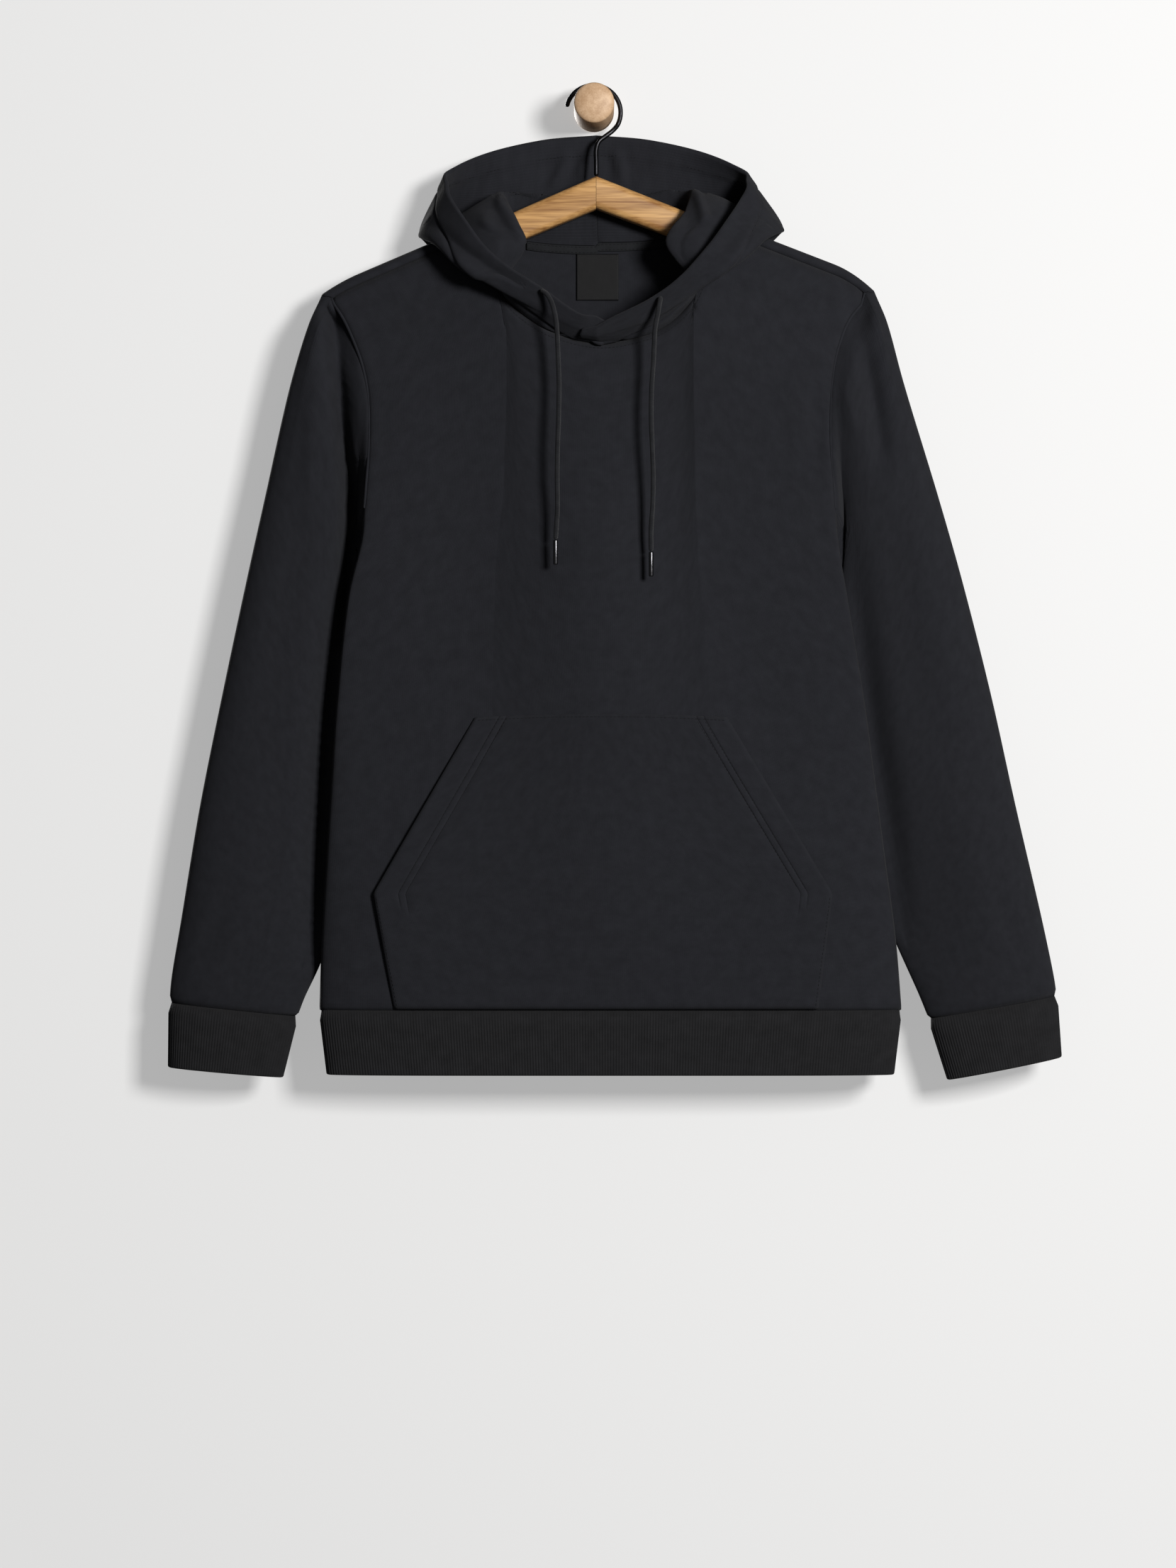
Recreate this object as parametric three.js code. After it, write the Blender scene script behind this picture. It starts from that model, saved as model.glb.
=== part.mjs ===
// A fleece pullover hoodie on a wooden hanger, hooked over a round wall peg.
// Millimetres, +Z up. The origin is the centre of the peg's wall face, and the garment's front faces -Y.

import * as THREE from "three";

// Cloth walls, and the gaps between pieces
const FLEECE = 2.2;
const RIB = 3;
const TUNNEL_WALL = 4;
const TAPE_WALL = 0.8;
const SEAM_GAP = 0.3;
const LYING_GAP = 0.45;
const SHARPEST_FOLD = 0.3;
const SHARPEST_CORNER = 0.6;
// Points closer than this are one point
const WELD = 0.002;

// Depths from the wall, as y
const HANGER_Y = -33;
const SIDE_SEAM_Y = -47;

// The wooden hanger
const HANGER_CENTRE_X = 1.8;
const HANGER_TOP_Z = -59.8;
const ARM_HEIGHT = 26;
const ARM_THICK = 20;
const ARM_EDGE_RADIUS = 6;
const ARM_SLOPE = { left: 0.428, right: 0.387 };
const ARM_REACH = { left: 210, right: 204 };
const ARM_EDGE_STEPS = 3;
// The arm's rings: how far back from its end, and how much of the full section; the first is the mitre
const ARM_END = [
  { back: null, size: 1 },
  { back: 5, size: 1 },
  { back: 1.5, size: 0.86 },
  { back: 0, size: 0.6 },
];
const TIP_DROOP = { left: 0.0043, right: 0.0082 };
const DROOP_FROM = 203;

// The hook's wire and the peg
const WIRE = 4;
const HOOK_Y = -25;
const HOOK_RADIUS = 23.4;
const HOOK_CENTRE = { x: -0.6, z: -3.7 };
const PEG_RADIUS = 17.2;
const PEG_LENGTH = 65;
const PEG_DOME = 5;
const PEG_DOME_STEPS = 5;
const PEG_SIDES = 36;
// The hook's stem from the arms up, then its arc round the peg, in degrees
const HOOK_STEM = [
  [1.8, -33, -59.4],
  [1.8, -32.4, -48],
  [1.8, -31.2, -36],
  [4.2, -30.2, -29.2],
  [10, -29, -24.4],
  [16, -27.6, -19.6],
];
const HOOK_SIDES = 8;
const HOOK_STEPS = 34;
const HOOK_ARC = { from: -26, to: 168, steps: 14 };

// The levels of the body
const HEM_SEAM_Z = -773;
const HEM_EDGE_Z = -828;
const UNDERARM_Z = -413;
const ARMHOLE_SHOWS_Z = -345;
const SHOULDER_TIP_Z = -167;

// The body's visible side edges: x of each, the depth of the front and back folds, and how far
// the side is tucked in
const SIDE_EDGES = [
  { z: -773, left: -233, right: 261, front: -58, back: -37, tuck: 3 },
  { z: -714, left: -231, right: 256, front: -61, back: -35, tuck: 13 },
  { z: -647, left: -227, right: 247, front: -64, back: -32, tuck: 28 },
  { z: -580, left: -222.5, right: 238, front: -67, back: -30, tuck: 41 },
  { z: -513, left: -218, right: 229, front: -69, back: -29, tuck: 51 },
  { z: -421, left: -208, right: 214, front: -70, back: -28, tuck: 58 },
  { z: -372, left: -196.5, right: 206, front: -70, back: -27, tuck: 58 },
  { z: -345, left: -195, right: 204.8, front: -68, back: -27, tuck: 58 },
  { z: -328, left: -193.8, right: 204, front: -67.5, back: -26, tuck: 58 },
  { z: -292, left: -191.3, right: 201.5, front: -67, back: -25, tuck: 58 },
  { z: -252, left: -192, right: 202, front: -64, back: -23, tuck: 58 },
  { z: -226, left: -196.7, right: 204.5, front: -61, back: -22, tuck: 58 },
  { z: -206, left: -203.6, right: 209, front: -57, back: -21.5, tuck: 58 },
  { z: -184, left: -213.6, right: 218, front: -51, back: -21, tuck: 58 },
  { z: -167, left: -224.5, right: 231.5, front: -45.6, back: -20.8, tuck: 58 },
];

// How far the panels bulge past their edges, up the body from hem to shoulder
const FULLNESS = [
  { up: 0, front: 20, back: 13 },
  { up: 0.2, front: 15, back: 8 },
  { up: 0.45, front: 6, back: 4 },
  { up: 0.7, front: 1, back: 1.5 },
  { up: 0.85, front: 0, back: 0 },
  { up: 1, front: 0, back: 0 },
];

// The front neck seam, from the centre front up to the shoulder seams
const FRONT_NECK = [
  { left: 6, right: 6, z: -206.3, y: -74 },
  { left: -14.5, right: 29.5, z: -203.3, y: -74 },
  { left: -44.6, right: 60, z: -192.4, y: -73 },
  { left: -73.5, right: 84, z: -168, y: -68 },
  { left: -85, right: 93, z: -136, y: -57 },
  { left: -88.6, right: 95.4, z: -105, y: -45.6 },
];
const BACK_NECK_DROP = 10;
const BACK_NECK_Y = -21.2;
const BACK_NECK_SQUARENESS = 2.4;

// The cloth's path over the hanger arm, from the front shoulder seam to the back: y, and the height
// over the arm's line
const OVER_ARM = [
  { y: -45.6, z: -8 },
  { y: -44.7, z: -3.6 },
  { y: -40.5, z: -0.2 },
  { y: -33, z: 0.5 },
  { y: -25.5, z: -0.2 },
  { y: -21.3, z: -3.6 },
  { y: -20.8, z: -11 },
];
const OVER_ARM_LIFT = 1.8;
// The cloth reaches a little further out on top of the shoulder tip than at its seam
const TIP_REACH = { most: 7.5, within: 8 };

// Rows and columns of the panels
const ROWS_BELOW_ARM = 9;
const ROWS_TUCKED = 3;
const ROWS_ARMHOLE = 7;
const SHOULDER_COLUMNS = 5;
const SHOULDER_SPACING = 1.4;
const NECK_COLUMNS = 12;
const NECK_FROM = 0.295;
const TUCK_COLUMNS = 3;
// The tucked side's way from the edge to the side seam: how far along, and how much of the depth is left
const TUCK_PATH = { shallow: { along: 0.1, past: 1.5, depth: 0.84 }, deep: { along: 0.62, depth: 0.72 } };
const ARMHOLE_CURVE = 0.9;
// A panel rounds off to its edges: the higher the power, the flatter its middle
const ROUNDING = { power: 5, rise: 0.5 };

// Sleeves: the outer edge from the shoulder tip down, the inner edge from the underarm down
const SLEEVES = {
  left: {
    outer: [
      { x: -243, z: -189 },
      { x: -258, z: -238 },
      { x: -280, z: -335 },
      { x: -296, z: -407 },
      { x: -316.6, z: -504 },
      { x: -336, z: -601 },
      { x: -352, z: -698 },
      { x: -360, z: -746 },
      { x: -362, z: -767.5 },
    ],
    inner: [
      { x: -159, z: -430 },
      { x: -173, z: -480 },
      { x: -192, z: -560 },
      { x: -216, z: -660 },
      { x: -232, z: -726 },
      { x: -249, z: -764 },
      { x: -254.5, z: -779 },
    ],
    cuff: { outer: { x: -362.5, z: -822.5 }, inner: { x: -267.5, z: -831 } },
  },
  right: {
    outer: [
      { x: 250, z: -189 },
      { x: 263.5, z: -238 },
      { x: 293, z: -335 },
      { x: 313.5, z: -407 },
      { x: 338, z: -504 },
      { x: 359.5, z: -601 },
      { x: 382, z: -698 },
      { x: 392, z: -746 },
      { x: 394.5, z: -762 },
    ],
    inner: [
      { x: 168, z: -431 },
      { x: 183, z: -480 },
      { x: 203, z: -560 },
      { x: 236, z: -660 },
      { x: 258, z: -714 },
      { x: 279, z: -761 },
      { x: 287, z: -781 },
    ],
    cuff: { outer: { x: 398, z: -814 }, inner: { x: 303.5, z: -833 } },
  },
};
const SLEEVE_SECTIONS = 13;
const SLEEVE_SPACING = 1.35;
// The sleeve narrows to the cuff from here on, as a share of its length
const WRIST_FROM = 0.8;
const SLEEVE_MID_Y = -46;
const SLEEVE_DEPTH = { outer: 27, inner: 8 };
const CUFF_DEPTH = { outer: 19, inner: 15 };
const ARMHOLE_FADE = 0.3;
const ARMHOLE_DEPTH_FADE = 0.047;
const CUFF_ROWS = 2;
const HEM_ROWS = 2;
// The hem band draws in towards its middle, across and from front to back
const HEM_DRAWS_IN = { middleX: 14, across: 0.027, deep: 0.05 };

// The hood, laid back. A row for each station along the neck seam, from the centre front (0) to the
// centre back (1). Points go from the seam to the face edge: the stand's fold, the pouch inside, its
// bottom, the bulge and the edge.
// Each is the distance out from the centre, z, and depth from the wall.
const HOOD_CENTRE_X = 1.8;
const HOOD_FRONT = {
  left: [
    { at: 0, bulge: [0, -195, 81], edge: [0, -184, 84] },
    { at: 0.1, bulge: [16, -192, 84], edge: [16, -181, 88] },
    { at: 0.22, bulge: [46, -178, 86], edge: [45, -161, 91] },
    { at: 0.36, bulge: [79, -162, 86], edge: [75, -142, 92] },
  ],
  right: [
    { at: 0, bulge: [0, -200, 86], edge: [0, -193, 89.5] },
    { at: 0.1, bulge: [14.5, -195, 86], edge: [14.5, -185, 90] },
    { at: 0.22, bulge: [47, -184, 87], edge: [45, -170, 92] },
    { at: 0.36, bulge: [78, -166, 87], edge: [71, -151, 93] },
  ],
};
const HOOD_BACK = [
  {
    at: 0.48,
    fold: [60, -121, 70], inside: [80, -124, 76], bottom: [100, -146, 80],
    bulge: [112, -142, 84], edge: [95, -124, 90],
  },
  {
    at: 0.56,
    fold: [73, -95, 58], inside: [94, -102, 64], bottom: [122, -124, 60],
    bulge: [135, -122, 66], edge: [110, -103, 84],
  },
  {
    at: 0.64,
    fold: [82, -76, 40], inside: [100, -85, 44], bottom: [134, -106, 35],
    bulge: [149, -113, 42], edge: [124, -80, 66],
  },
  {
    at: 0.7,
    fold: [77, -71, 25], inside: [96, -84, 24], bottom: [132, -103, 20],
    bulge: [151, -110, 22], edge: [127, -67, 54],
  },
  {
    at: 0.76,
    fold: [64, -70, 17.5], inside: [82, -86, 15], bottom: [122, -132, 12],
    bulge: [145, -110, 7.5], edge: [126, -56, 43],
  },
  {
    at: 0.86,
    fold: [40, -74, 17], inside: [50, -110, 13], bottom: [74, -200, 9.5],
    bulge: [96, -120, 5], edge: [92, -38, 26],
  },
  {
    at: 0.94,
    fold: [18, -76, 16.5], inside: [22, -120, 13], bottom: [34, -228, 9],
    bulge: [46, -130, 4.5], edge: [44, -26, 18],
  },
  {
    at: 1,
    fold: [0, -76, 16.5], inside: [0, -120, 13], bottom: [0, -236, 9],
    bulge: [0, -130, 4.5], edge: [0, -22, 15.5],
  },
];
// The right arm of the hanger is higher, and the pouch reaches further out over it
const RIGHT_POUCH = { stretch: 1.06, lift: 5, from: 0.4, to: 0.55 };
// Where the two front edges lie over each other: the lower corner, the bulge and the top corner
const FLAPS = {
  left: { behind: 2.4, ends: [[15, -203.6, 70], [14, -197, 76], [12, -189, 79.5]] },
  right: { behind: -3.6, ends: [[-12, -202, 80], [-12, -199, 84.5], [-10, -195.5, 88.5]] },
};
// The hood starts a little above the neck seam at the centre front, where the flaps cross
const FLAP_LIFT = 1.5;
const HOOD_PROFILE_POINTS = 14;
const TUNNEL_POINTS = 3;

// The kangaroo pocket's outline, top to bottom
const POCKET = [
  { z: -524, left: -101, right: 113 },
  { z: -560, left: -121, right: 135 },
  { z: -600, left: -145, right: 159 },
  { z: -640, left: -168, right: 183 },
  { z: -673, left: -187, right: 202 },
  { z: -722, left: -178, right: 196 },
  { z: -771, left: -169.5, right: 190 },
];
const POCKET_COLUMNS = 12;
const POCKET_ROWS = 8;
const POCKET_ARCH = 3;
// The pocket puffs out from the front, less in its middle than at its openings
const POCKET_PUFF = { most: 3.5, middle: 0.35 };

// The neck tape and the bare label inside the back neck
const TAPE = { left: -52, right: 60, height: 7, drop: 0.5, columns: 8 };
const LABEL = { x: 3, top: -125, width: 36, height: 40, cells: 3 };

// The drawstrings' routes from the slit in the tunnel to the aglet: x, z and depth from the wall
const CORD = 4;
const CORD_SIDES = 8;
const CORD_STEPS = 22;
const AGLET = { length: 21, width: 3.9, sides: 12, tip: 0.6, chamfer: 0.5 };
const CORDS = {
  left: [
    [-45, -163, 94.4], [-40, -167, 99], [-36, -174, 101], [-32.8, -186, 101],
    [-31.2, -201, 99.5], [-30.6, -215, 98.5], [-29.6, -244, 98], [-30, -269, 98.5],
    [-30.8, -295, 99], [-31.2, -321, 99], [-31, -348, 99], [-32.6, -374, 98.5],
  ],
  right: [
    [56.2, -169, 95.5], [55.4, -174, 99], [53.6, -184, 101], [51.4, -196, 101],
    [50.7, -208, 99.5], [50.2, -221, 98.5], [48.6, -245, 98], [48.1, -270, 98.5],
    [49, -295, 99], [49.8, -320, 99], [49.4, -345, 99], [48, -366, 98.5], [48.1, -384, 98],
  ],
};

const FLEECE_COLOUR = 0x212326;
const RIB_COLOUR = 0x1f1f20;
const paint = (color, roughness, metalness = 0) =>
  new THREE.MeshStandardMaterial({ color, roughness, metalness });
const materials = {
  fleece: paint(FLEECE_COLOUR, 0.95),
  rib: paint(RIB_COLOUR, 0.92),
  label: paint(0x15151a, 0.6),
  cord: paint(0x1c1d20, 0.9),
  aglet: paint(0x2a2b2e, 0.25, 0.9),
  oak: paint(0xd9b47c, 0.55),
  beech: paint(0xe3c9a4, 0.6),
  wire: paint(0x17181a, 0.35, 0.9),
};

const hoodie = new THREE.Group();
hoodie.name = "hoodie_on_hanger";

function addPiece(name, geometry, material) {
  const piece = new THREE.Mesh(geometry, material);
  piece.name = name;
  hoodie.add(piece);
  return piece;
}

const vec = (x, y, z) => new THREE.Vector3(x, y, z);
const mix = (a, b, t) => a + (b - a) * t;
const smooth = (t) => {
  const c = Math.min(1, Math.max(0, t));
  return c * c * (3 - 2 * c);
};

// A table's row at any value of its key column, by a smooth curve through the rows
function rowAt(table, key, value) {
  const up = table[table.length - 1][key] > table[0][key];
  const rows = up ? table : [...table].reverse();
  let i = 0;
  while (i < rows.length - 2 && rows[i + 1][key] < value) i += 1;
  const [a, b] = [rows[i], rows[i + 1]];
  const before = rows[Math.max(0, i - 1)];
  const after = rows[Math.min(rows.length - 1, i + 2)];
  const span = b[key] - a[key];
  const t = (value - a[key]) / span;
  const row = {};
  for (const column of Object.keys(a)) {
    const slopeA = ((b[column] - before[column]) / (b[key] - before[key])) * span;
    const slopeB = ((after[column] - a[column]) / (after[key] - a[key])) * span;
    const [p, q] = [a[column], b[column]];
    row[column] =
      p * (2 * t ** 3 - 3 * t ** 2 + 1) +
      slopeA * (t ** 3 - 2 * t ** 2 + t) +
      q * (3 * t ** 2 - 2 * t ** 3) +
      slopeB * (t ** 3 - t ** 2);
  }
  return row;
}

const smoothCurve = (points) => new THREE.CatmullRomCurve3(points, false, "centripetal");

// A cloth surface: its middle points, its triangles and its wall at each point
const keyOf = (p) => [p.x, p.y, p.z].map((value) => Math.round(value / WELD)).join();

function surfaceOf(grids, wall) {
  const surface = { points: [], walls: [], keys: new Map(), triangles: [] };
  const indexOf = (p, thick) => {
    const key = keyOf(p);
    if (!surface.keys.has(key)) {
      surface.keys.set(key, surface.points.length);
      surface.points.push(p.clone());
      surface.walls.push(thick);
    }
    return surface.keys.get(key);
  };
  const addTriangle = (a, b, c, flip) => {
    if (a !== b && b !== c && c !== a) surface.triangles.push(flip ? [a, c, b] : [a, b, c]);
  };
  for (const { rows, closed, flip, wallAt } of grids) {
    const index = rows.map((row, i) => row.map((p, j) => indexOf(p, wallAt ? wallAt(i, j) : wall)));
    for (let i = 0; i < rows.length - 1; i += 1) {
      const count = closed ? rows[i].length : rows[i].length - 1;
      for (let j = 0; j < count; j += 1) {
        const k = (j + 1) % rows[i].length;
        addTriangle(index[i][j], index[i][k], index[i + 1][k], flip);
        addTriangle(index[i][j], index[i + 1][k], index[i + 1][j], flip);
      }
    }
  }
  return surface;
}

const faceNormal = (surface, [a, b, c]) => {
  const [p, q, r] = [surface.points[a], surface.points[b], surface.points[c]];
  return q.clone().sub(p).cross(r.clone().sub(p));
};

// Pieces that share a seam share the mean of their normals there, so that their edges meet face to face
function addNormals(surfaces) {
  const seams = new Map();
  for (const surface of surfaces) {
    surface.normals = surface.points.map(() => vec(0, 0, 0));
    for (const triangle of surface.triangles) {
      const normal = faceNormal(surface, triangle);
      triangle.forEach((corner) => surface.normals[corner].add(normal));
    }
    surface.normals.forEach((normal, i) => {
      normal.normalize();
      const key = keyOf(surface.points[i]);
      if (!seams.has(key)) seams.set(key, { sum: vec(0, 0, 0), pieces: 0 });
      seams.get(key).sum.add(normal);
      seams.get(key).pieces += 1;
    });
  }
  for (const surface of surfaces) {
    const shared = surface.points.map((p) => seams.get(keyOf(p)));
    surface.normals = shared.map(({ sum }) => sum.clone().normalize());
    surface.onSeam = shared.map(({ pieces }) => pieces > 1);
    // A seam that folds back on itself is drawn back further, so that its two walls stay apart
    surface.drawBack = shared.map(
      ({ sum, pieces }) => SEAM_GAP / 2 / Math.max(SHARPEST_FOLD, sum.length() / pieces),
    );
  }
}

function boundaryOf(surface) {
  const edges = new Map();
  for (const triangle of surface.triangles) {
    for (let i = 0; i < 3; i += 1) {
      const [a, b] = [triangle[i], triangle[(i + 1) % 3]];
      if (edges.has(`${b},${a}`)) edges.delete(`${b},${a}`);
      else edges.set(`${a},${b}`, { a, b, triangle });
    }
  }
  return [...edges.values()];
}

// The closed wall round a surface, drawn back from its seams by half the gap
function clothSolid(surface) {
  const boundary = boundaryOf(surface);
  const inward = new Map();
  for (const { a, b, triangle } of boundary) {
    if (!surface.onSeam[a] || !surface.onSeam[b]) continue;
    const along = surface.points[b].clone().sub(surface.points[a]);
    const into = faceNormal(surface, triangle).cross(along).normalize();
    for (const corner of [a, b]) {
      if (!inward.has(corner)) inward.set(corner, []);
      inward.get(corner).push(into);
    }
  }
  const middle = surface.points.map((p, i) => {
    const into = inward.get(i);
    if (!into) return p.clone();
    const sum = into.reduce((total, direction) => total.add(direction), vec(0, 0, 0));
    const spread = into.length > 1 ? Math.max(SHARPEST_CORNER, 1 + into[0].dot(into[1])) : 1;
    return p.clone().addScaledVector(sum, surface.drawBack[i] / spread);
  });
  const count = middle.length;
  const positions = [];
  for (const side of [0.5, -0.5]) {
    middle.forEach((p, i) => {
      const q = p.clone().addScaledVector(surface.normals[i], side * surface.walls[i]);
      positions.push(q.x, q.y, q.z);
    });
  }
  const index = [];
  for (const [a, b, c] of surface.triangles) {
    index.push(a, b, c, a + count, c + count, b + count);
  }
  for (const { a, b } of boundary) {
    // Both pieces at a seam split its face along the same diagonal
    const swapped = keyOf(surface.points[a]) < keyOf(surface.points[b]);
    if (swapped) index.push(b, a, a + count, b, a + count, b + count);
    else index.push(a, a + count, b + count, a, b + count, b);
  }
  const geometry = new THREE.BufferGeometry();
  geometry.setAttribute("position", new THREE.Float32BufferAttribute(positions, 3));
  geometry.setIndex(index);
  geometry.computeVertexNormals();
  return geometry;
}

// A closed body through rings of points, with flat ends
function loftSolid(rings) {
  const size = rings[0].length;
  const last = (rings.length - 1) * size;
  const triangles = [];
  for (let i = 0; i < rings.length - 1; i += 1) {
    for (let j = 0; j < size; j += 1) {
      const k = (j + 1) % size;
      const [a, b, c, d] = [i * size + j, i * size + k, (i + 1) * size + k, (i + 1) * size + j];
      triangles.push([a, b, c], [a, c, d]);
    }
  }
  for (let j = 1; j < size - 1; j += 1) {
    triangles.push([0, j + 1, j], [last, last + j, last + j + 1]);
  }
  const points = rings.flat();
  const wedge = ([a, b, c]) => points[a].dot(points[b].clone().cross(points[c]));
  const volume = triangles.reduce((sum, triangle) => sum + wedge(triangle), 0);
  const geometry = new THREE.BufferGeometry();
  const positions = points.flatMap((p) => [p.x, p.y, p.z]);
  geometry.setAttribute("position", new THREE.Float32BufferAttribute(positions, 3));
  geometry.setIndex(triangles.flatMap(([a, b, c]) => (volume > 0 ? [a, b, c] : [a, c, b])));
  geometry.computeVertexNormals();
  return geometry;
}

// The height of the cloth over a hanger arm, at its middle
function ridgeZ(x) {
  const side = x < HANGER_CENTRE_X ? "left" : "right";
  const out = Math.abs(x - HANGER_CENTRE_X);
  const beyond = Math.max(0, out - DROOP_FROM);
  return HANGER_TOP_Z + OVER_ARM_LIFT - out * ARM_SLOPE[side] - TIP_DROOP[side] * beyond ** 2;
}

// The front neck seam from the left shoulder to the right one
function frontNeckPoints() {
  const half = (side) => FRONT_NECK.map((row) => vec(row[side], row.y, row.z));
  const left = half("left");
  const right = half("right");
  for (const side of [left, right]) {
    const last = side[side.length - 1];
    last.z = ridgeZ(last.x) + OVER_ARM[0].z;
  }
  const curve = smoothCurve([...left.reverse(), ...right.slice(1)]);
  return curve.getSpacedPoints(NECK_COLUMNS);
}

// The back neck seam, between the same columns, behind the hanger
function backNeckPoints() {
  const over = OVER_ARM[OVER_ARM.length - 1];
  const { left, right } = FRONT_NECK[FRONT_NECK.length - 1];
  const points = [];
  for (let i = 0; i <= NECK_COLUMNS; i += 1) {
    const side = (2 * i) / NECK_COLUMNS - 1;
    const x = mix(left, right, i / NECK_COLUMNS);
    const edge = side < 0 ? left : right;
    const drop = 1 - Math.abs(side) ** BACK_NECK_SQUARENESS;
    const level = ridgeZ(edge) + over.z;
    points.push(vec(x, mix(over.y, BACK_NECK_Y, drop), level - BACK_NECK_DROP * drop));
  }
  return points;
}

// A panel's top edge: shoulder, neck and shoulder, at one place on the path over the arm
function topEdge(over, neck) {
  const first = neck[0];
  const last = neck[neck.length - 1];
  const shoulder = (neckPoint, tip) => {
    const points = [];
    for (let i = 0; i < SHOULDER_COLUMNS; i += 1) {
      const share = (i / SHOULDER_COLUMNS) ** SHOULDER_SPACING;
      const x = mix(tip, neckPoint.x, share);
      points.push(vec(x, over.y, ridgeZ(x) + over.z));
    }
    return points;
  };
  const tips = rowAt(SIDE_EDGES, "z", SHOULDER_TIP_Z);
  const reach = tipReach(over);
  const left = shoulder(first, tips.left - reach);
  const right = shoulder(last, tips.right + reach).reverse();
  return [...left, ...neck, ...right];
}

const tipReach = (over) => TIP_REACH.most * smooth(1 + over.z / TIP_REACH.within);

const SHARES = (() => {
  const outer = [];
  for (let i = 0; i < SHOULDER_COLUMNS; i += 1) {
    outer.push(NECK_FROM * (i / SHOULDER_COLUMNS) ** SHOULDER_SPACING);
  }
  const middle = [];
  for (let i = 0; i <= NECK_COLUMNS; i += 1) middle.push(mix(NECK_FROM, 1 - NECK_FROM, i / NECK_COLUMNS));
  return [...outer, ...middle, ...outer.map((share) => 1 - share).reverse()];
})();

const ROW_LEVELS = (() => {
  const levels = [];
  const stretch = (from, to, count) => {
    for (let i = 0; i < count; i += 1) levels.push(mix(from, to, i / count));
  };
  stretch(HEM_SEAM_Z, UNDERARM_Z, ROWS_BELOW_ARM);
  stretch(UNDERARM_Z, ARMHOLE_SHOWS_Z, ROWS_TUCKED);
  stretch(ARMHOLE_SHOWS_Z, SHOULDER_TIP_Z, ROWS_ARMHOLE);
  levels.push(SHOULDER_TIP_Z);
  return levels;
})();

// Soft round from a panel's edge to its middle
const roundness = (share) => (1 - Math.abs(2 * share - 1) ** ROUNDING.power) ** ROUNDING.rise;

// The part of a panel that faces the front or the back, spread between its four edges
function panelFace(face, top) {
  const bulge = face === "front" ? -1 : 1;
  const edge = (level, side) => {
    const row = rowAt(SIDE_EDGES, "z", level);
    return vec(row[side], row[face], level);
  };
  const lastRow = ROW_LEVELS.length - 1;
  const left = ROW_LEVELS.map((level) => edge(level, "left"));
  const right = ROW_LEVELS.map((level) => edge(level, "right"));
  left[lastRow] = top[0].clone();
  right[lastRow] = top[top.length - 1].clone();
  const height = SHOULDER_TIP_Z - HEM_SEAM_Z;
  return ROW_LEVELS.map((level, j) => {
    const v = (level - HEM_SEAM_Z) / height;
    const fullness = rowAt(FULLNESS, "up", v)[face];
    return SHARES.map((u, i) => {
      if (i === 0) return left[j].clone();
      if (i === SHARES.length - 1) return right[j].clone();
      const bottom = left[0].clone().lerp(right[0], u);
      const across = left[j].clone().lerp(right[j], u);
      const corners = bottom.clone().lerp(left[lastRow].clone().lerp(right[lastRow], u), v);
      const point = bottom.lerp(top[i], v).add(across).sub(corners);
      point.y += bulge * fullness * roundness(u);
      return point;
    });
  });
}

// The side that is tucked in behind the front edge, up to the side seam or the hidden end of the armhole seam
function tuckedSide(face, side, edges) {
  const inward = side === "left" ? 1 : -1;
  return ROW_LEVELS.slice(0, ROWS_BELOW_ARM + ROWS_TUCKED + 1).map((level, j) => {
    const row = rowAt(SIDE_EDGES, "z", level);
    const hidden = Math.max(0, (level - UNDERARM_Z) / (ARMHOLE_SHOWS_Z - UNDERARM_Z));
    const reach = (1 - hidden) ** ARMHOLE_CURVE;
    const start = edges[j];
    const { shallow, deep } = TUCK_PATH;
    const place = (along, depth) =>
      vec(row[side] + inward * along, mix(SIDE_SEAM_Y, row[face], depth), level);
    const path = smoothCurve([
      start,
      place(shallow.along * row.tuck + shallow.past, shallow.depth),
      place(deep.along * row.tuck, deep.depth),
      place(row.tuck, 0),
    ]);
    const points = [];
    for (let i = 0; i <= TUCK_COLUMNS; i += 1) {
      points.push(reach > 0 ? path.getPoint((i / TUCK_COLUMNS) * reach) : start.clone());
    }
    return points;
  });
}

const frontNeck = frontNeckPoints();
const backNeck = backNeckPoints();
const tops = OVER_ARM.map((over, i) => {
  if (i === 0) return topEdge(over, frontNeck);
  if (i === OVER_ARM.length - 1) return topEdge(over, backNeck);
  const ends = [frontNeck[0], frontNeck[NECK_COLUMNS]].map((p) => vec(p.x, over.y, ridgeZ(p.x) + over.z));
  return topEdge(over, [ends[0], ...frontNeck.slice(1, -1), ends[1]]);
});
const neckStart = SHOULDER_COLUMNS;
const neckEnd = SHOULDER_COLUMNS + NECK_COLUMNS;

const faces = { front: panelFace("front", tops[0]), back: panelFace("back", tops[tops.length - 1]) };
const tucks = {};
for (const face of ["front", "back"]) {
  const rows = faces[face];
  tucks[face] = {
    left: tuckedSide(face, "left", rows.map((row) => row[0])),
    right: tuckedSide(face, "right", rows.map((row) => row[row.length - 1])),
  };
}

// The strips of the back panel that go over the hanger arms to the shoulder seams
const shoulderStrips = {
  left: [...tops].reverse().map((top) => top.slice(0, neckStart + 1)),
  right: [...tops].reverse().map((top) => top.slice(neckEnd)),
};

const frontSurface = surfaceOf(
  [
    { rows: faces.front },
    { rows: tucks.front.left, flip: true },
    { rows: tucks.front.right },
  ],
  FLEECE,
);
const backSurface = surfaceOf(
  [
    { rows: faces.back, flip: true },
    { rows: tucks.back.left },
    { rows: tucks.back.right, flip: true },
    { rows: shoulderStrips.left, flip: true },
    { rows: shoulderStrips.right, flip: true },
  ],
  FLEECE,
);

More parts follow.
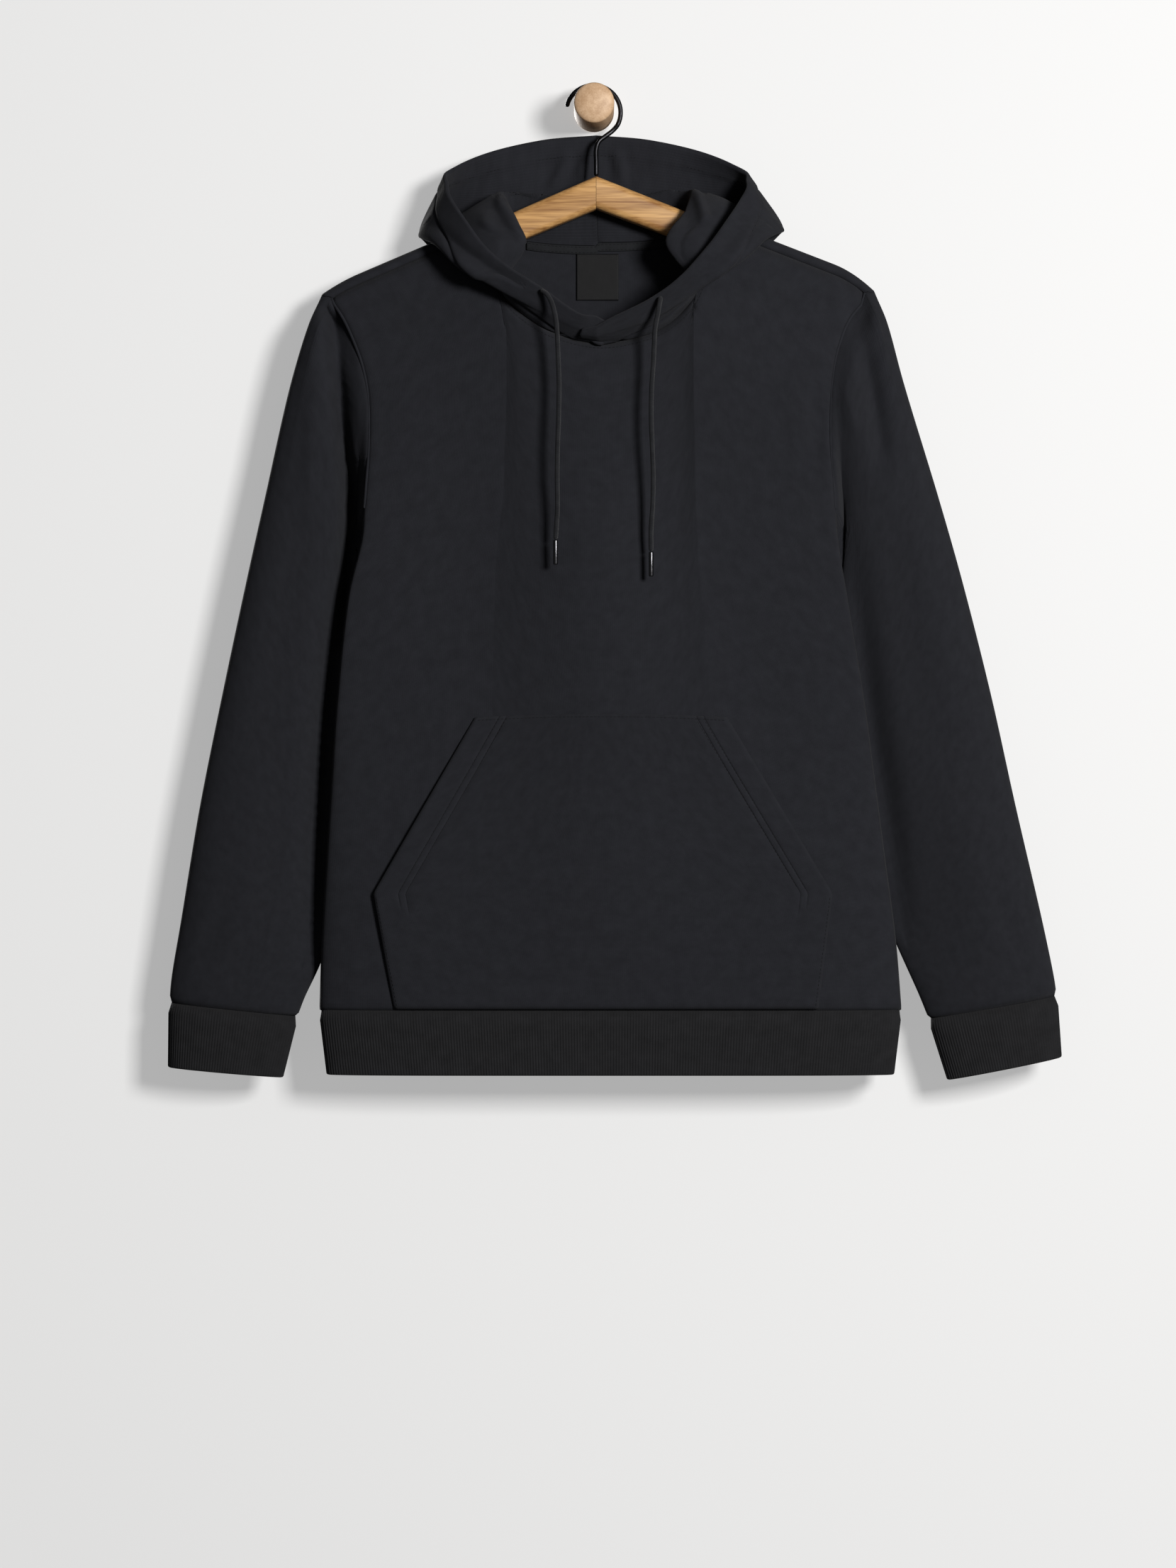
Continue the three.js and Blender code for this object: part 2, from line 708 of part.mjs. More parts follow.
// The loop of points round an armhole, from the underarm up the front, over the arm and down the back
function armholeLoop(side) {
  const column = side === "left" ? 0 : SHARES.length - 1;
  const seamOf = (face) => {
    const hidden = tucks[face][side].slice(ROWS_BELOW_ARM, ROWS_BELOW_ARM + ROWS_TUCKED);
    const shown = faces[face].slice(ROWS_BELOW_ARM + ROWS_TUCKED);
    return [...hidden.map((row) => row[TUCK_COLUMNS]), ...shown.map((row) => row[column])];
  };
  const over = tops.slice(1, -1).map((top) => (side === "left" ? top[0] : top[top.length - 1]));
  return [...seamOf("front"), ...over, ...seamOf("back").reverse().slice(0, -1)];
}

// A sleeve's rings, from the armhole to the cuff seam, and the cuff's rings below it
function sleeveRings(side) {
  const { outer, inner, cuff } = SLEEVES[side];
  const loop = armholeLoop(side);
  const size = loop.length;
  const underarm = loop[0];
  const top = loop[size / 2];
  const at = ({ x, z }) => vec(x, SLEEVE_MID_Y, z);
  const outerCurve = smoothCurve([vec(top.x, SLEEVE_MID_Y, top.z), ...outer.map(at)]);
  const innerCurve = smoothCurve([vec(underarm.x, SLEEVE_MID_Y, underarm.z), ...inner.map(at)]);
  const ring = (out, into, depth) => {
    const points = [];
    for (let k = 0; k < size; k += 1) {
      const angle = Math.PI - (2 * Math.PI * k) / size;
      const share = (1 + Math.cos(angle)) / 2;
      const point = into.clone().lerp(out, share);
      point.y = SLEEVE_MID_Y - Math.sin(angle) * mix(depth.inner, depth.outer, share);
      points.push(point);
    }
    return points;
  };
  const first = ring(outerCurve.getPointAt(0), innerCurve.getPointAt(0), SLEEVE_DEPTH);
  const rings = [];
  for (let i = 0; i <= SLEEVE_SECTIONS; i += 1) {
    const t = (i / SLEEVE_SECTIONS) ** SLEEVE_SPACING;
    const end = smooth((t - WRIST_FROM) / (1 - WRIST_FROM));
    const depth = {
      outer: mix(SLEEVE_DEPTH.outer, CUFF_DEPTH.outer, end),
      inner: mix(SLEEVE_DEPTH.inner, CUFF_DEPTH.inner, end),
    };
    const plain = ring(outerCurve.getPointAt(t), innerCurve.getPointAt(t), depth);
    const fade = 1 - smooth(t / ARMHOLE_FADE);
    const depthFade = 1 - smooth(t / ARMHOLE_DEPTH_FADE);
    rings.push(
      plain.map((p, k) => {
        const offset = loop[k].clone().sub(first[k]);
        return p.add(vec(offset.x * fade, offset.y * depthFade, offset.z * fade));
      }),
    );
  }
  const cuffRings = [rings[SLEEVE_SECTIONS]];
  for (let i = 1; i <= CUFF_ROWS; i += 1) {
    const t = i / CUFF_ROWS;
    const out = outerCurve.getPointAt(1).lerp(at(cuff.outer), t);
    const into = innerCurve.getPointAt(1).lerp(at(cuff.inner), t);
    cuffRings.push(ring(out, into, CUFF_DEPTH));
  }
  return { rings, cuffRings };
}

const sleeves = { left: sleeveRings("left"), right: sleeveRings("right") };
const sleeveSurfaces = {};
const cuffSurfaces = {};
for (const side of ["left", "right"]) {
  const flip = side === "right";
  sleeveSurfaces[side] = surfaceOf([{ rows: sleeves[side].rings, closed: true, flip }], FLEECE);
  cuffSurfaces[side] = surfaceOf([{ rows: sleeves[side].cuffRings, closed: true, flip }], RIB);
}

// The hem band hangs from the panels' lower edges, all the way round
function hemRings() {
  const ring = [
    ...[...tucks.front.left[0]].reverse(),
    ...faces.front[0].slice(1),
    ...tucks.front.right[0].slice(1),
    ...[...tucks.back.right[0]].reverse().slice(1),
    ...[...faces.back[0]].reverse().slice(1),
    ...tucks.back.left[0].slice(1, -1),
  ];
  const rings = [];
  for (let i = 0; i <= HEM_ROWS; i += 1) {
    const t = i / HEM_ROWS;
    const { middleX, across, deep } = HEM_DRAWS_IN;
    const drawnIn = ({ x, y, z }) =>
      vec(mix(x, middleX, across * t), mix(y, SIDE_SEAM_Y, deep * t), mix(z, HEM_EDGE_Z, t));
    rings.push(ring.map(drawnIn));
  }
  return rings;
}
const hemSurface = surfaceOf([{ rows: hemRings(), closed: true, flip: true }], RIB);

// The neck seam on one side, from the centre front over the shoulder to the centre back
function neckSeam(side) {
  const half = NECK_COLUMNS / 2;
  const pick = (row) => (side === "left" ? row.slice(0, half + 1).reverse() : row.slice(half));
  const column = side === "left" ? neckStart : neckEnd;
  const over = tops.slice(1, -1).map((top) => top[column]);
  return [...pick(frontNeck), ...over, ...pick(backNeck).reverse()];
}

// The rows of the hood's table for one side, with the plain rows near the front filled in along their path
const PROFILE = ["fold", "inside", "bottom", "bulge", "edge"];
const PLAIN_SHARES = { fold: 0.3, inside: 0.55, bottom: 0.8 };

function hoodTable(side, seamAt) {
  const { stretch, lift, from, to } = RIGHT_POUCH;
  return [...HOOD_FRONT[side], ...HOOD_BACK].map((station) => {
    const row = { at: station.at };
    const seam = seamAt(station.at);
    const start = [Math.abs(seam.x - HOOD_CENTRE_X), seam.z, -seam.y];
    const pouch = side === "right" ? smooth((station.at - from) / (to - from)) : 0;
    for (const name of PROFILE) {
      const plain = start.map((value, axis) => mix(value, station.bulge[axis], PLAIN_SHARES[name]));
      const [out, z, depth] = station[name] ?? plain;
      const moved = name === "fold" || name === "edge" ? 0 : pouch;
      row[`${name}Out`] = out * mix(1, stretch, moved);
      row[`${name}Z`] = z + lift * moved;
      row[`${name}Depth`] = depth;
    }
    return row;
  });
}

// One half of the hood, as a row of points for each place on the neck seam, from the seam to the face edge
function hoodRows(side) {
  const sign = side === "left" ? -1 : 1;
  const seam = neckSeam(side);
  const lengths = [0];
  for (let i = 1; i < seam.length; i += 1) lengths.push(lengths[i - 1] + seam[i].distanceTo(seam[i - 1]));
  const total = lengths[lengths.length - 1];
  const seamAt = (at) => {
    let i = 0;
    while (i < seam.length - 2 && lengths[i + 1] < at * total) i += 1;
    return seam[i].clone().lerp(seam[i + 1], (at * total - lengths[i]) / (lengths[i + 1] - lengths[i]));
  };
  const table = hoodTable(side, seamAt);
  const { behind, ends } = FLAPS[side];
  const rows = seam.map((start, i) => {
    const row = rowAt(table, "at", lengths[i] / total);
    const points = PROFILE.map((name) =>
      vec(HOOD_CENTRE_X + sign * row[`${name}Out`], -row[`${name}Depth`], row[`${name}Z`]),
    );
    const first = i === 0 ? start.clone().add(vec(0, behind, FLAP_LIFT)) : start;
    return smoothCurve([first, ...points]).getSpacedPoints(HOOD_PROFILE_POINTS);
  });
  const flap = ends.map(([x, z, depth]) => vec(x, -depth, z));
  return [smoothCurve(flap).getSpacedPoints(HOOD_PROFILE_POINTS), ...rows];
}

const hoodHalves = { left: hoodRows("left"), right: hoodRows("right") };
// Both halves end on the centre back seam
const centreBack = hoodHalves.left.length - 1;
hoodHalves.right[centreBack] = hoodHalves.left[centreBack].map((p) => p.clone());

const tunnelWall = (i, j) => (j > HOOD_PROFILE_POINTS - TUNNEL_POINTS ? TUNNEL_WALL : FLEECE);
const hoodSurfaces = {
  left: surfaceOf([{ rows: hoodHalves.left, wallAt: tunnelWall }], FLEECE),
  right: surfaceOf([{ rows: hoodHalves.right, flip: true, wallAt: tunnelWall }], FLEECE),
};

const garment = [
  frontSurface,
  backSurface,
  sleeveSurfaces.left,
  sleeveSurfaces.right,
  cuffSurfaces.left,
  cuffSurfaces.right,
  hemSurface,
  hoodSurfaces.left,
  hoodSurfaces.right,
];
addNormals(garment);

addPiece("front_panel", clothSolid(frontSurface), materials.fleece);
addPiece("back_panel", clothSolid(backSurface), materials.fleece);
for (const side of ["left", "right"]) {
  addPiece(`sleeve_${side}`, clothSolid(sleeveSurfaces[side]), materials.fleece);
  addPiece(`cuff_${side}`, clothSolid(cuffSurfaces[side]), materials.rib);
  addPiece(`hood_${side}`, clothSolid(hoodSurfaces[side]), materials.fleece);
}
addPiece("hem_band", clothSolid(hemSurface), materials.rib);

// The place of a panel's middle at x and z, as y
function depthAt(rows, x, z) {
  for (let i = 0; i < rows.length - 1; i += 1) {
    for (let j = 0; j < rows[i].length - 1; j += 1) {
      const [a, b, c, d] = [rows[i][j], rows[i][j + 1], rows[i + 1][j + 1], rows[i + 1][j]];
      for (const [p, q, r] of [[a, b, c], [a, c, d]]) {
        const area = (q.x - p.x) * (r.z - p.z) - (r.x - p.x) * (q.z - p.z);
        const v = ((x - p.x) * (r.z - p.z) - (r.x - p.x) * (z - p.z)) / area;
        const w = ((q.x - p.x) * (z - p.z) - (x - p.x) * (q.z - p.z)) / area;
        if (v >= -1e-6 && w >= -1e-6 && v + w <= 1 + 1e-6) return p.y + v * (q.y - p.y) + w * (r.y - p.y);
      }
    }
  }
  throw new Error(`no cloth at ${x}, ${z}`);
}

// A flat piece that lies on a panel, from rows of x and z, moved out by both half walls and the gap
function lyingPiece(rows, panel, toward, wall, lift = () => 0) {
  const offset = FLEECE / 2 + wall / 2 + LYING_GAP;
  const points = rows.map((row, i) =>
    row.map(({ x, z }, j) => {
      const out = offset + lift(i / (rows.length - 1), j / (row.length - 1));
      return vec(x, depthAt(panel, x, z) + toward * out, z);
    }),
  );
  const surface = surfaceOf([{ rows: points, flip: toward > 0 }], wall);
  addNormals([surface]);
  return clothSolid(surface);
}

function pocketRows() {
  const bottom = POCKET[POCKET.length - 1].z;
  const rows = [];
  for (let i = 0; i <= POCKET_ROWS; i += 1) {
    const z = mix(bottom, POCKET[0].z, i / POCKET_ROWS);
    const { left, right } = rowAt(POCKET, "z", z);
    const row = [];
    for (let j = 0; j <= POCKET_COLUMNS; j += 1) {
      const u = j / POCKET_COLUMNS;
      const arch = i === POCKET_ROWS ? POCKET_ARCH * 4 * u * (1 - u) : 0;
      row.push({ x: mix(left, right, u), z: z + arch });
    }
    rows.push(row);
  }
  return rows;
}

const pocketLift = (up, across) =>
  POCKET_PUFF.most * Math.sin(Math.PI * up) * mix(POCKET_PUFF.middle, 1, Math.abs(2 * across - 1) ** 2);
addPiece("kangaroo_pocket", lyingPiece(pocketRows(), faces.front, -1, FLEECE, pocketLift), materials.fleece);

const rectangleRows = (left, right, bottomAt, topAt, columns, rowCount) => {
  const rows = [];
  for (let i = 0; i <= rowCount; i += 1) {
    const row = [];
    for (let j = 0; j <= columns; j += 1) {
      const x = mix(left, right, j / columns);
      row.push({ x, z: mix(bottomAt(x), topAt(x), i / rowCount) });
    }
    rows.push(row);
  }
  return rows;
};
const backNeckZ = (x) => {
  const i = backNeck.findIndex((p) => p.x >= x);
  const [a, b] = [backNeck[i - 1], backNeck[i]];
  return mix(a.z, b.z, (x - a.x) / (b.x - a.x));
};
const tapeTop = (x) => backNeckZ(x) - TAPE.drop;
const tape = rectangleRows(TAPE.left, TAPE.right, (x) => tapeTop(x) - TAPE.height, tapeTop, TAPE.columns, 1);
addPiece("neck_tape", lyingPiece(tape, faces.back, -1, TAPE_WALL), materials.fleece);
const label = rectangleRows(
  LABEL.x - LABEL.width / 2,
  LABEL.x + LABEL.width / 2,
  () => LABEL.top - LABEL.height,
  () => LABEL.top,
  LABEL.cells,
  LABEL.cells,
);
addPiece("neck_label", lyingPiece(label, faces.back, -1, TAPE_WALL), materials.label);

// The round section of a cord or wire
function roundShape(radius, sides) {
  const shape = new THREE.Shape();
  for (let i = 0; i < sides; i += 1) {
    const angle = (2 * Math.PI * i) / sides;
    const [x, y] = [radius * Math.cos(angle), radius * Math.sin(angle)];
    if (i === 0) shape.moveTo(x, y);
    else shape.lineTo(x, y);
  }
  shape.closePath();
  return shape;
}

function tube(points, diameter, sides, steps) {
  const extrudePath = smoothCurve(points);
  const section = roundShape(diameter / 2, sides);
  return new THREE.ExtrudeGeometry(section, { steps, extrudePath, bevelEnabled: false });
}

for (const side of ["left", "right"]) {
  const route = CORDS[side].map(([x, z, depth]) => vec(x, -depth, z));
  addPiece(`drawstring_${side}`, tube(route, CORD, CORD_SIDES, CORD_STEPS), materials.cord);
  const end = route[route.length - 1];
  const radius = AGLET.width / 2;
  const profile = [
    [0, 0],
    [radius * AGLET.tip, 0],
    [radius, radius * AGLET.chamfer],
    [radius, AGLET.length],
    [0, AGLET.length],
  ].map(([r, h]) => new THREE.Vector2(r, h));
  const aglet = addPiece(`aglet_${side}`, new THREE.LatheGeometry(profile, AGLET.sides), materials.aglet);
  aglet.rotation.x = Math.PI / 2;
  aglet.position.set(end.x, end.y, end.z - SEAM_GAP - AGLET.length);
}

// A hanger arm's section, as y and height, from its own middle
function armSection() {
  const [halfThick, halfHigh, r] = [ARM_THICK / 2, ARM_HEIGHT / 2, ARM_EDGE_RADIUS];
  const points = [];
  for (const [y, z, from] of [[1, 1, 0], [-1, 1, 1], [-1, -1, 2], [1, -1, 3]]) {
    for (let i = 0; i <= ARM_EDGE_STEPS; i += 1) {
      const angle = (Math.PI / 2) * (from + i / ARM_EDGE_STEPS);
      points.push([y * (halfThick - r) + r * Math.cos(angle), z * (halfHigh - r) + r * Math.sin(angle)]);
    }
  }
  return points;
}

for (const side of ["left", "right"]) {
  const sign = side === "left" ? -1 : 1;
  const slope = ARM_SLOPE[side];
  const steep = Math.hypot(1, slope);
  const rings = ARM_END.map(({ back, size }) => {
    const out = back === null ? SEAM_GAP / 2 : ARM_REACH[side] - back;
    const middle = HANGER_TOP_Z - out * slope - (ARM_HEIGHT * steep) / 2;
    const x = HANGER_CENTRE_X + sign * out;
    return armSection().map(([y, z]) => vec(x, HANGER_Y + y * size, middle + z * size * steep));
  });
  addPiece(`hanger_arm_${side}`, loftSolid(rings), materials.oak);
}

function hookPath() {
  const points = HOOK_STEM.map(([x, y, z]) => vec(x, y, z));
  for (let i = 0; i <= HOOK_ARC.steps; i += 1) {
    const angle = THREE.MathUtils.degToRad(mix(HOOK_ARC.from, HOOK_ARC.to, i / HOOK_ARC.steps));
    const [across, up] = [HOOK_RADIUS * Math.cos(angle), HOOK_RADIUS * Math.sin(angle)];
    points.push(vec(HOOK_CENTRE.x + across, HOOK_Y, HOOK_CENTRE.z + up));
  }
  return points;
}
addPiece("hanger_hook", tube(hookPath(), WIRE, HOOK_SIDES, HOOK_STEPS), materials.wire);

function pegProfile() {
  const points = [new THREE.Vector2(0, 0), new THREE.Vector2(PEG_RADIUS, 0)];
  for (let i = 0; i <= PEG_DOME_STEPS; i += 1) {
    const angle = (Math.PI / 2) * (i / PEG_DOME_STEPS);
    const along = PEG_LENGTH - PEG_DOME * (1 - Math.sin(angle));
    points.push(new THREE.Vector2(PEG_RADIUS * Math.cos(angle), along));
  }
  points[points.length - 1].x = 0;
  return points;
}
const peg = addPiece("wall_peg", new THREE.LatheGeometry(pegProfile(), PEG_SIDES), materials.beech);
peg.rotation.x = Math.PI;

export default hoodie;
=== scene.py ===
# %% [markdown]
# # A fleece pullover hoodie on a wooden hanger
# The hoodie hangs flat on a wooden hanger, and the hanger's wire hook lies over a round peg in the wall.
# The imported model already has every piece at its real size, so it is loaded first, and each cloth piece is
# then made again as a finer shell in the same place. Lengths here are in millimetres and are turned into
# metres only when a mesh is made.

# %% Load the frame
import math

import bpy
import numpy as np
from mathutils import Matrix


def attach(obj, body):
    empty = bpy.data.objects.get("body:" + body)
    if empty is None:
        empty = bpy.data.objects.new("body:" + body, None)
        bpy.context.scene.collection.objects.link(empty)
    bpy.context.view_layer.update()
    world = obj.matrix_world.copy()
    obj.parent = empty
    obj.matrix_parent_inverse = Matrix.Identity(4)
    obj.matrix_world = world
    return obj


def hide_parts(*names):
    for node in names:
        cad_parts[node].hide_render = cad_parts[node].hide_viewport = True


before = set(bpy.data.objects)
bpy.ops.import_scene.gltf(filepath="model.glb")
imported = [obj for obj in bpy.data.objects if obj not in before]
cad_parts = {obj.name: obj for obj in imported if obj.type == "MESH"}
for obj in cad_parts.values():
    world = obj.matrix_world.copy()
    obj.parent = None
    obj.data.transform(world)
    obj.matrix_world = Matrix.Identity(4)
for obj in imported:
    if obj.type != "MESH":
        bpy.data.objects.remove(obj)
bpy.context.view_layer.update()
MM = 0.001
print("pieces in the frame:", len(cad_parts))

# %% [markdown]
# ## The camera
# The photo was taken from about four metres away with a long lens, level with the middle of the picture, so
# the garment shows hardly any perspective. A camera that looks straight at the wall gives the same view.

# %% Camera
CAMERA_PLACE = (-5.2, -4200, -580.4)
LENS = 111.6

bpy.ops.object.camera_add(location=[value * MM for value in CAMERA_PLACE], rotation=(math.pi / 2, 0, 0))
camera = bpy.context.object
camera.data.lens = LENS
camera.data.sensor_width = 36
camera.data.clip_end = 50
bpy.context.scene.camera = camera

# %% [markdown]
# ## Lines and tables
# Everything on the garment follows a few smooth lines. A short table gives the places that were measured, and
# these helpers run a smooth curve through them. The same curve is used for seams, cords and hood folds.

# %% Smooth lines and tables


def mix(a, b, t):
    return a + (b - a) * t


def smooth(t):
    t = np.clip(t, 0, 1)
    return t * t * (3 - 2 * t)


def hermite(a, b, slope_a, slope_b, t):
    return (
        a * (2 * t**3 - 3 * t**2 + 1)
        + slope_a * (t**3 - 2 * t**2 + t)
        + b * (3 * t**2 - 2 * t**3)
        + slope_b * (t**3 - t**2)
    )


def smooth_line(points, steps=24):
    """A smooth curve through points, as many short steps."""
    p = np.asarray(points, float)
    p = np.vstack([2 * p[0] - p[1], p, 2 * p[-1] - p[-2]])
    gaps = np.maximum(np.linalg.norm(np.diff(p, axis=0), axis=1), 1e-4) ** 0.5
    t = np.linspace(0, 1, steps, endpoint=False)[:, None]
    line = []
    for i in range(1, len(p) - 2):
        before, here, after = gaps[i - 1 : i + 2]
        a, b, c, d = p[i - 1 : i + 3]
        slope_b = ((b - a) / before - (c - a) / (before + here) + (c - b) / here) * here
        slope_c = ((c - b) / here - (d - b) / (here + after) + (d - c) / after) * here
        line.append(hermite(b, c, slope_b, slope_c, t))
    return np.vstack([*line, p[-2:-1]])


def lengths_of(line):
    return np.concatenate([[0], np.cumsum(np.linalg.norm(np.diff(line, axis=0), axis=1))])


def along(line, shares):
    """Points on a line at shares of its length."""
    lengths = lengths_of(line)
    at = np.asarray(shares) * lengths[-1]
    return np.stack([np.interp(at, lengths, line[:, axis]) for axis in range(line.shape[1])], axis=-1)


def read_table(table, key, values):
    """A table's columns at any values of its key, on a smooth curve through its rows."""
    rows = sorted(table, key=lambda row: row[key])
    keys = np.array([row[key] for row in rows], float)
    i = np.clip(np.searchsorted(keys, values, side="right") - 1, 0, len(keys) - 2)
    before, after = np.maximum(i - 1, 0), np.minimum(i + 2, len(keys) - 1)
    span = keys[i + 1] - keys[i]
    t = (values - keys[i]) / span
    found = {}
    for name in rows[0]:
        column = np.array([row[name] for row in rows], float)
        slope_a = (column[i + 1] - column[before]) / (keys[i + 1] - keys[before]) * span
        slope_b = (column[after] - column[i]) / (keys[after] - keys[i]) * span
        found[name] = hermite(column[i], column[i + 1], slope_a, slope_b, t)
    return found


# %% [markdown]
# ## Cloth from a grid
# A panel of cloth is a sheet, so each one starts as a flat grid primitive. Its points are then put on the
# garment's form, row by row, and a Solidify modifier gives it the wall of real fleece. A vertex group thins
# or thickens the wall, which rounds off a turned edge.

# %% Grids, walls and seams
MERGE_WITHIN = 2e-5
FOLD_FADE = 0.7


def only(piece):
    bpy.ops.object.select_all(action="DESELECT")
    piece.select_set(True)
    bpy.context.view_layer.objects.active = piece


def surface_lengths(points):
    """How far across and along the cloth each point lies, in metres, on its middle row and column."""
    rows, columns = points.shape[:2]
    across = lengths_of(points[rows // 2]) * MM
    up = lengths_of(points[:, columns // 2]) * MM
    return np.stack(np.meshgrid(across, up), axis=-1)


def put_grid(name, points, wall=None, relief=None, flat=None):
    """A grid primitive put on a form: rows of points in millimetres, and weights for later modifiers."""
    rows, columns = points.shape[:2]
    bpy.ops.object.select_all(action="DESELECT")
    bpy.ops.mesh.primitive_grid_add(x_subdivisions=columns - 1, y_subdivisions=rows - 1, size=1)
    piece = bpy.context.object
    piece.name = piece.data.name = name
    mesh = piece.data
    mesh.vertices.foreach_set("co", (points * MM).astype(np.float32).ravel())
    corners = np.zeros(len(mesh.loops), np.int32)
    mesh.loops.foreach_get("vertex_index", corners)
    flat = surface_lengths(points) if flat is None else flat
    mesh.uv_layers[0].data.foreach_set("uv", flat.reshape(-1, 2)[corners].astype(np.float32).ravel())
    for group_name, weights in (("wall", wall), ("relief", relief)):
        if weights is None:
            continue
        group = piece.vertex_groups.new(name=group_name)
        for index, weight in enumerate(weights.ravel()):
            group.add([index], float(weight), "REPLACE")
    mesh.update()
    return piece


def merge(piece, others=()):
    """Other grids joined to a piece, and the points that lie on each other made one."""
    only(piece)
    for other in others:
        other.select_set(True)
    if others:
        bpy.ops.object.join()
    bpy.ops.object.mode_set(mode="EDIT")
    bpy.ops.mesh.select_all(action="SELECT")
    bpy.ops.mesh.remove_doubles(threshold=MERGE_WITHIN)
    bpy.ops.object.mode_set(mode="OBJECT")


def thicken(piece, wall, relief=0):
    """A wall round the sheet, and then its relief: both faces are lifted by the relief group's weights."""
    only(piece)
    solidify = piece.modifiers.new("wall", "SOLIDIFY")
    solidify.thickness = wall * MM
    solidify.offset = 0
    if "wall" in piece.vertex_groups:
        solidify.vertex_group = "wall"
    bpy.ops.object.modifier_apply(modifier=solidify.name)
    if relief:
        lift = piece.modifiers.new("relief", "DISPLACE")
        lift.vertex_group = "relief"
        lift.mid_level = 0
        lift.strength = relief * MM
        bpy.ops.object.modifier_apply(modifier=lift.name)
    bpy.ops.object.shade_smooth()


def outward(points, closed=False):
    """The direction out of the cloth at each point of a grid."""
    if closed:
        points = np.concatenate([points[:, -2:-1], points, points[:, 1:2]], axis=1)
    normal = np.cross(np.gradient(points, axis=1), np.gradient(points, axis=0))
    if closed:
        normal = normal[:, 1:-1]
    return normal / np.maximum(np.linalg.norm(normal, axis=-1, keepdims=True), 1e-9)


def raised(points, height, closed=False):
    return points + outward(points, closed) * height[..., None]


def rounded_wall(from_edge, wall, least=0.02):
    """The share of a wall's thickness at a distance from its turned edge, which rounds the edge off."""
    return np.sqrt(np.clip(1 - (1 - np.minimum(from_edge / (wall / 2), 1)) ** 2, least, 1))


def fold(points, path, width, height):
    """A soft fold over a path of x and z, fading to its ends. A negative height makes a trough."""
    line = smooth_line([(x, 0, z) for x, z in path], 12)[:, [0, 2]]
    share = lengths_of(line) / lengths_of(line)[-1]
    flat = points[..., [0, 2]].reshape(-1, 2)
    gaps = np.linalg.norm(flat[:, None] - line[None], axis=-1)
    nearest = gaps.argmin(axis=1)
    level = height * np.sin(np.pi * share[nearest]) ** FOLD_FADE
    return (level * np.exp(-((gaps.min(axis=1) / width) ** 2))).reshape(points.shape[:2])


# %% [markdown]
# ## Finishes
# Fleece, rib, cord and tape are all knitted cotton, so they share one group: little V-shaped loops in rows
# and columns, at their real size, plus the slight mottling of brushed cloth. The group reads each piece's own
# UV map, which is in metres on the cloth, so the knit follows every fold. Wood gets a grain group, stretched
# along the piece.

# %% Shader groups


def new_group(name, inputs, outputs):
    group = bpy.data.node_groups.new(name, "ShaderNodeTree")
    for label, kind, value in inputs:
        socket = group.interface.new_socket(label, in_out="INPUT", socket_type=kind)
        if value is not None:
            socket.default_value = value
    for label, kind in outputs:
        group.interface.new_socket(label, in_out="OUTPUT", socket_type=kind)
    return group, group.nodes.new("NodeGroupInput"), group.nodes.new("NodeGroupOutput")


def math_node(tree, operation, *values):
    node = tree.nodes.new("ShaderNodeMath")
    node.operation = operation
    for slot, value in zip(node.inputs, values):
        if isinstance(value, bpy.types.NodeSocket):
            tree.links.new(value, slot)
        else:
            slot.default_value = value
    return node.outputs[0]


def knit_group():
    """V-shaped loops: each column of loops is a wale, each row a course."""
    group, given, out = new_group(
        "knit loops",
        [
            ("Wales per metre", "NodeSocketFloat", 1100.0),
            ("Courses per metre", "NodeSocketFloat", 1500.0),
            ("Mottle size", "NodeSocketFloat", 90.0),
        ],
        [("Height", "NodeSocketFloat"), ("Mottle", "NodeSocketFloat")],
    )
    uv = group.nodes.new("ShaderNodeUVMap")
    parts = group.nodes.new("ShaderNodeSeparateXYZ")
    group.links.new(uv.outputs[0], parts.inputs[0])
    wale = math_node(group, "MULTIPLY", parts.outputs[0], given.outputs["Wales per metre"])
    course = math_node(group, "MULTIPLY", parts.outputs[1], given.outputs["Courses per metre"])
    side = math_node(group, "ABSOLUTE", math_node(group, "SUBTRACT", math_node(group, "FRACT", wale), 0.5))
    slanted = math_node(group, "ADD", course, side)
    loop = math_node(group, "SINE", math_node(group, "MULTIPLY", slanted, math.pi))
    loop = math_node(group, "ABSOLUTE", loop)
    groove = math_node(group, "POWER", math_node(group, "MULTIPLY", side, 2.0), 4.0)
    groove = math_node(group, "SUBTRACT", 1.0, groove)
    group.links.new(math_node(group, "MULTIPLY", loop, groove), out.inputs["Height"])
    noise = group.nodes.new("ShaderNodeTexNoise")
    noise.inputs["Detail"].default_value = 5
    noise.inputs["Roughness"].default_value = 0.62
    group.links.new(uv.outputs[0], noise.inputs["Vector"])
    group.links.new(given.outputs["Mottle size"], noise.inputs["Scale"])
    group.links.new(noise.outputs["Fac"], out.inputs["Mottle"])
    return group


def grain_group():
    """Fibres stretched along a piece, and the broader bands of its year rings."""
    group, given, out = new_group(
        "wood grain",
        [
            ("Coordinate", "NodeSocketVector", None),
            ("Fibres", "NodeSocketFloat", 900.0),
            ("Rings", "NodeSocketFloat", 120.0),
        ],
        [("Bands", "NodeSocketFloat"), ("Pores", "NodeSocketFloat")],
    )
    bands = group.nodes.new("ShaderNodeTexNoise")
    bands.inputs["Detail"].default_value = 3
    bands.inputs["Distortion"].default_value = 0.6
    pores = group.nodes.new("ShaderNodeTexNoise")
    pores.inputs["Detail"].default_value = 2
    for node, scale, output in ((bands, "Rings", "Bands"), (pores, "Fibres", "Pores")):
        group.links.new(given.outputs["Coordinate"], node.inputs["Vector"])
        group.links.new(given.outputs[scale], node.inputs["Scale"])
        group.links.new(node.outputs["Fac"], out.inputs[output])
    return group


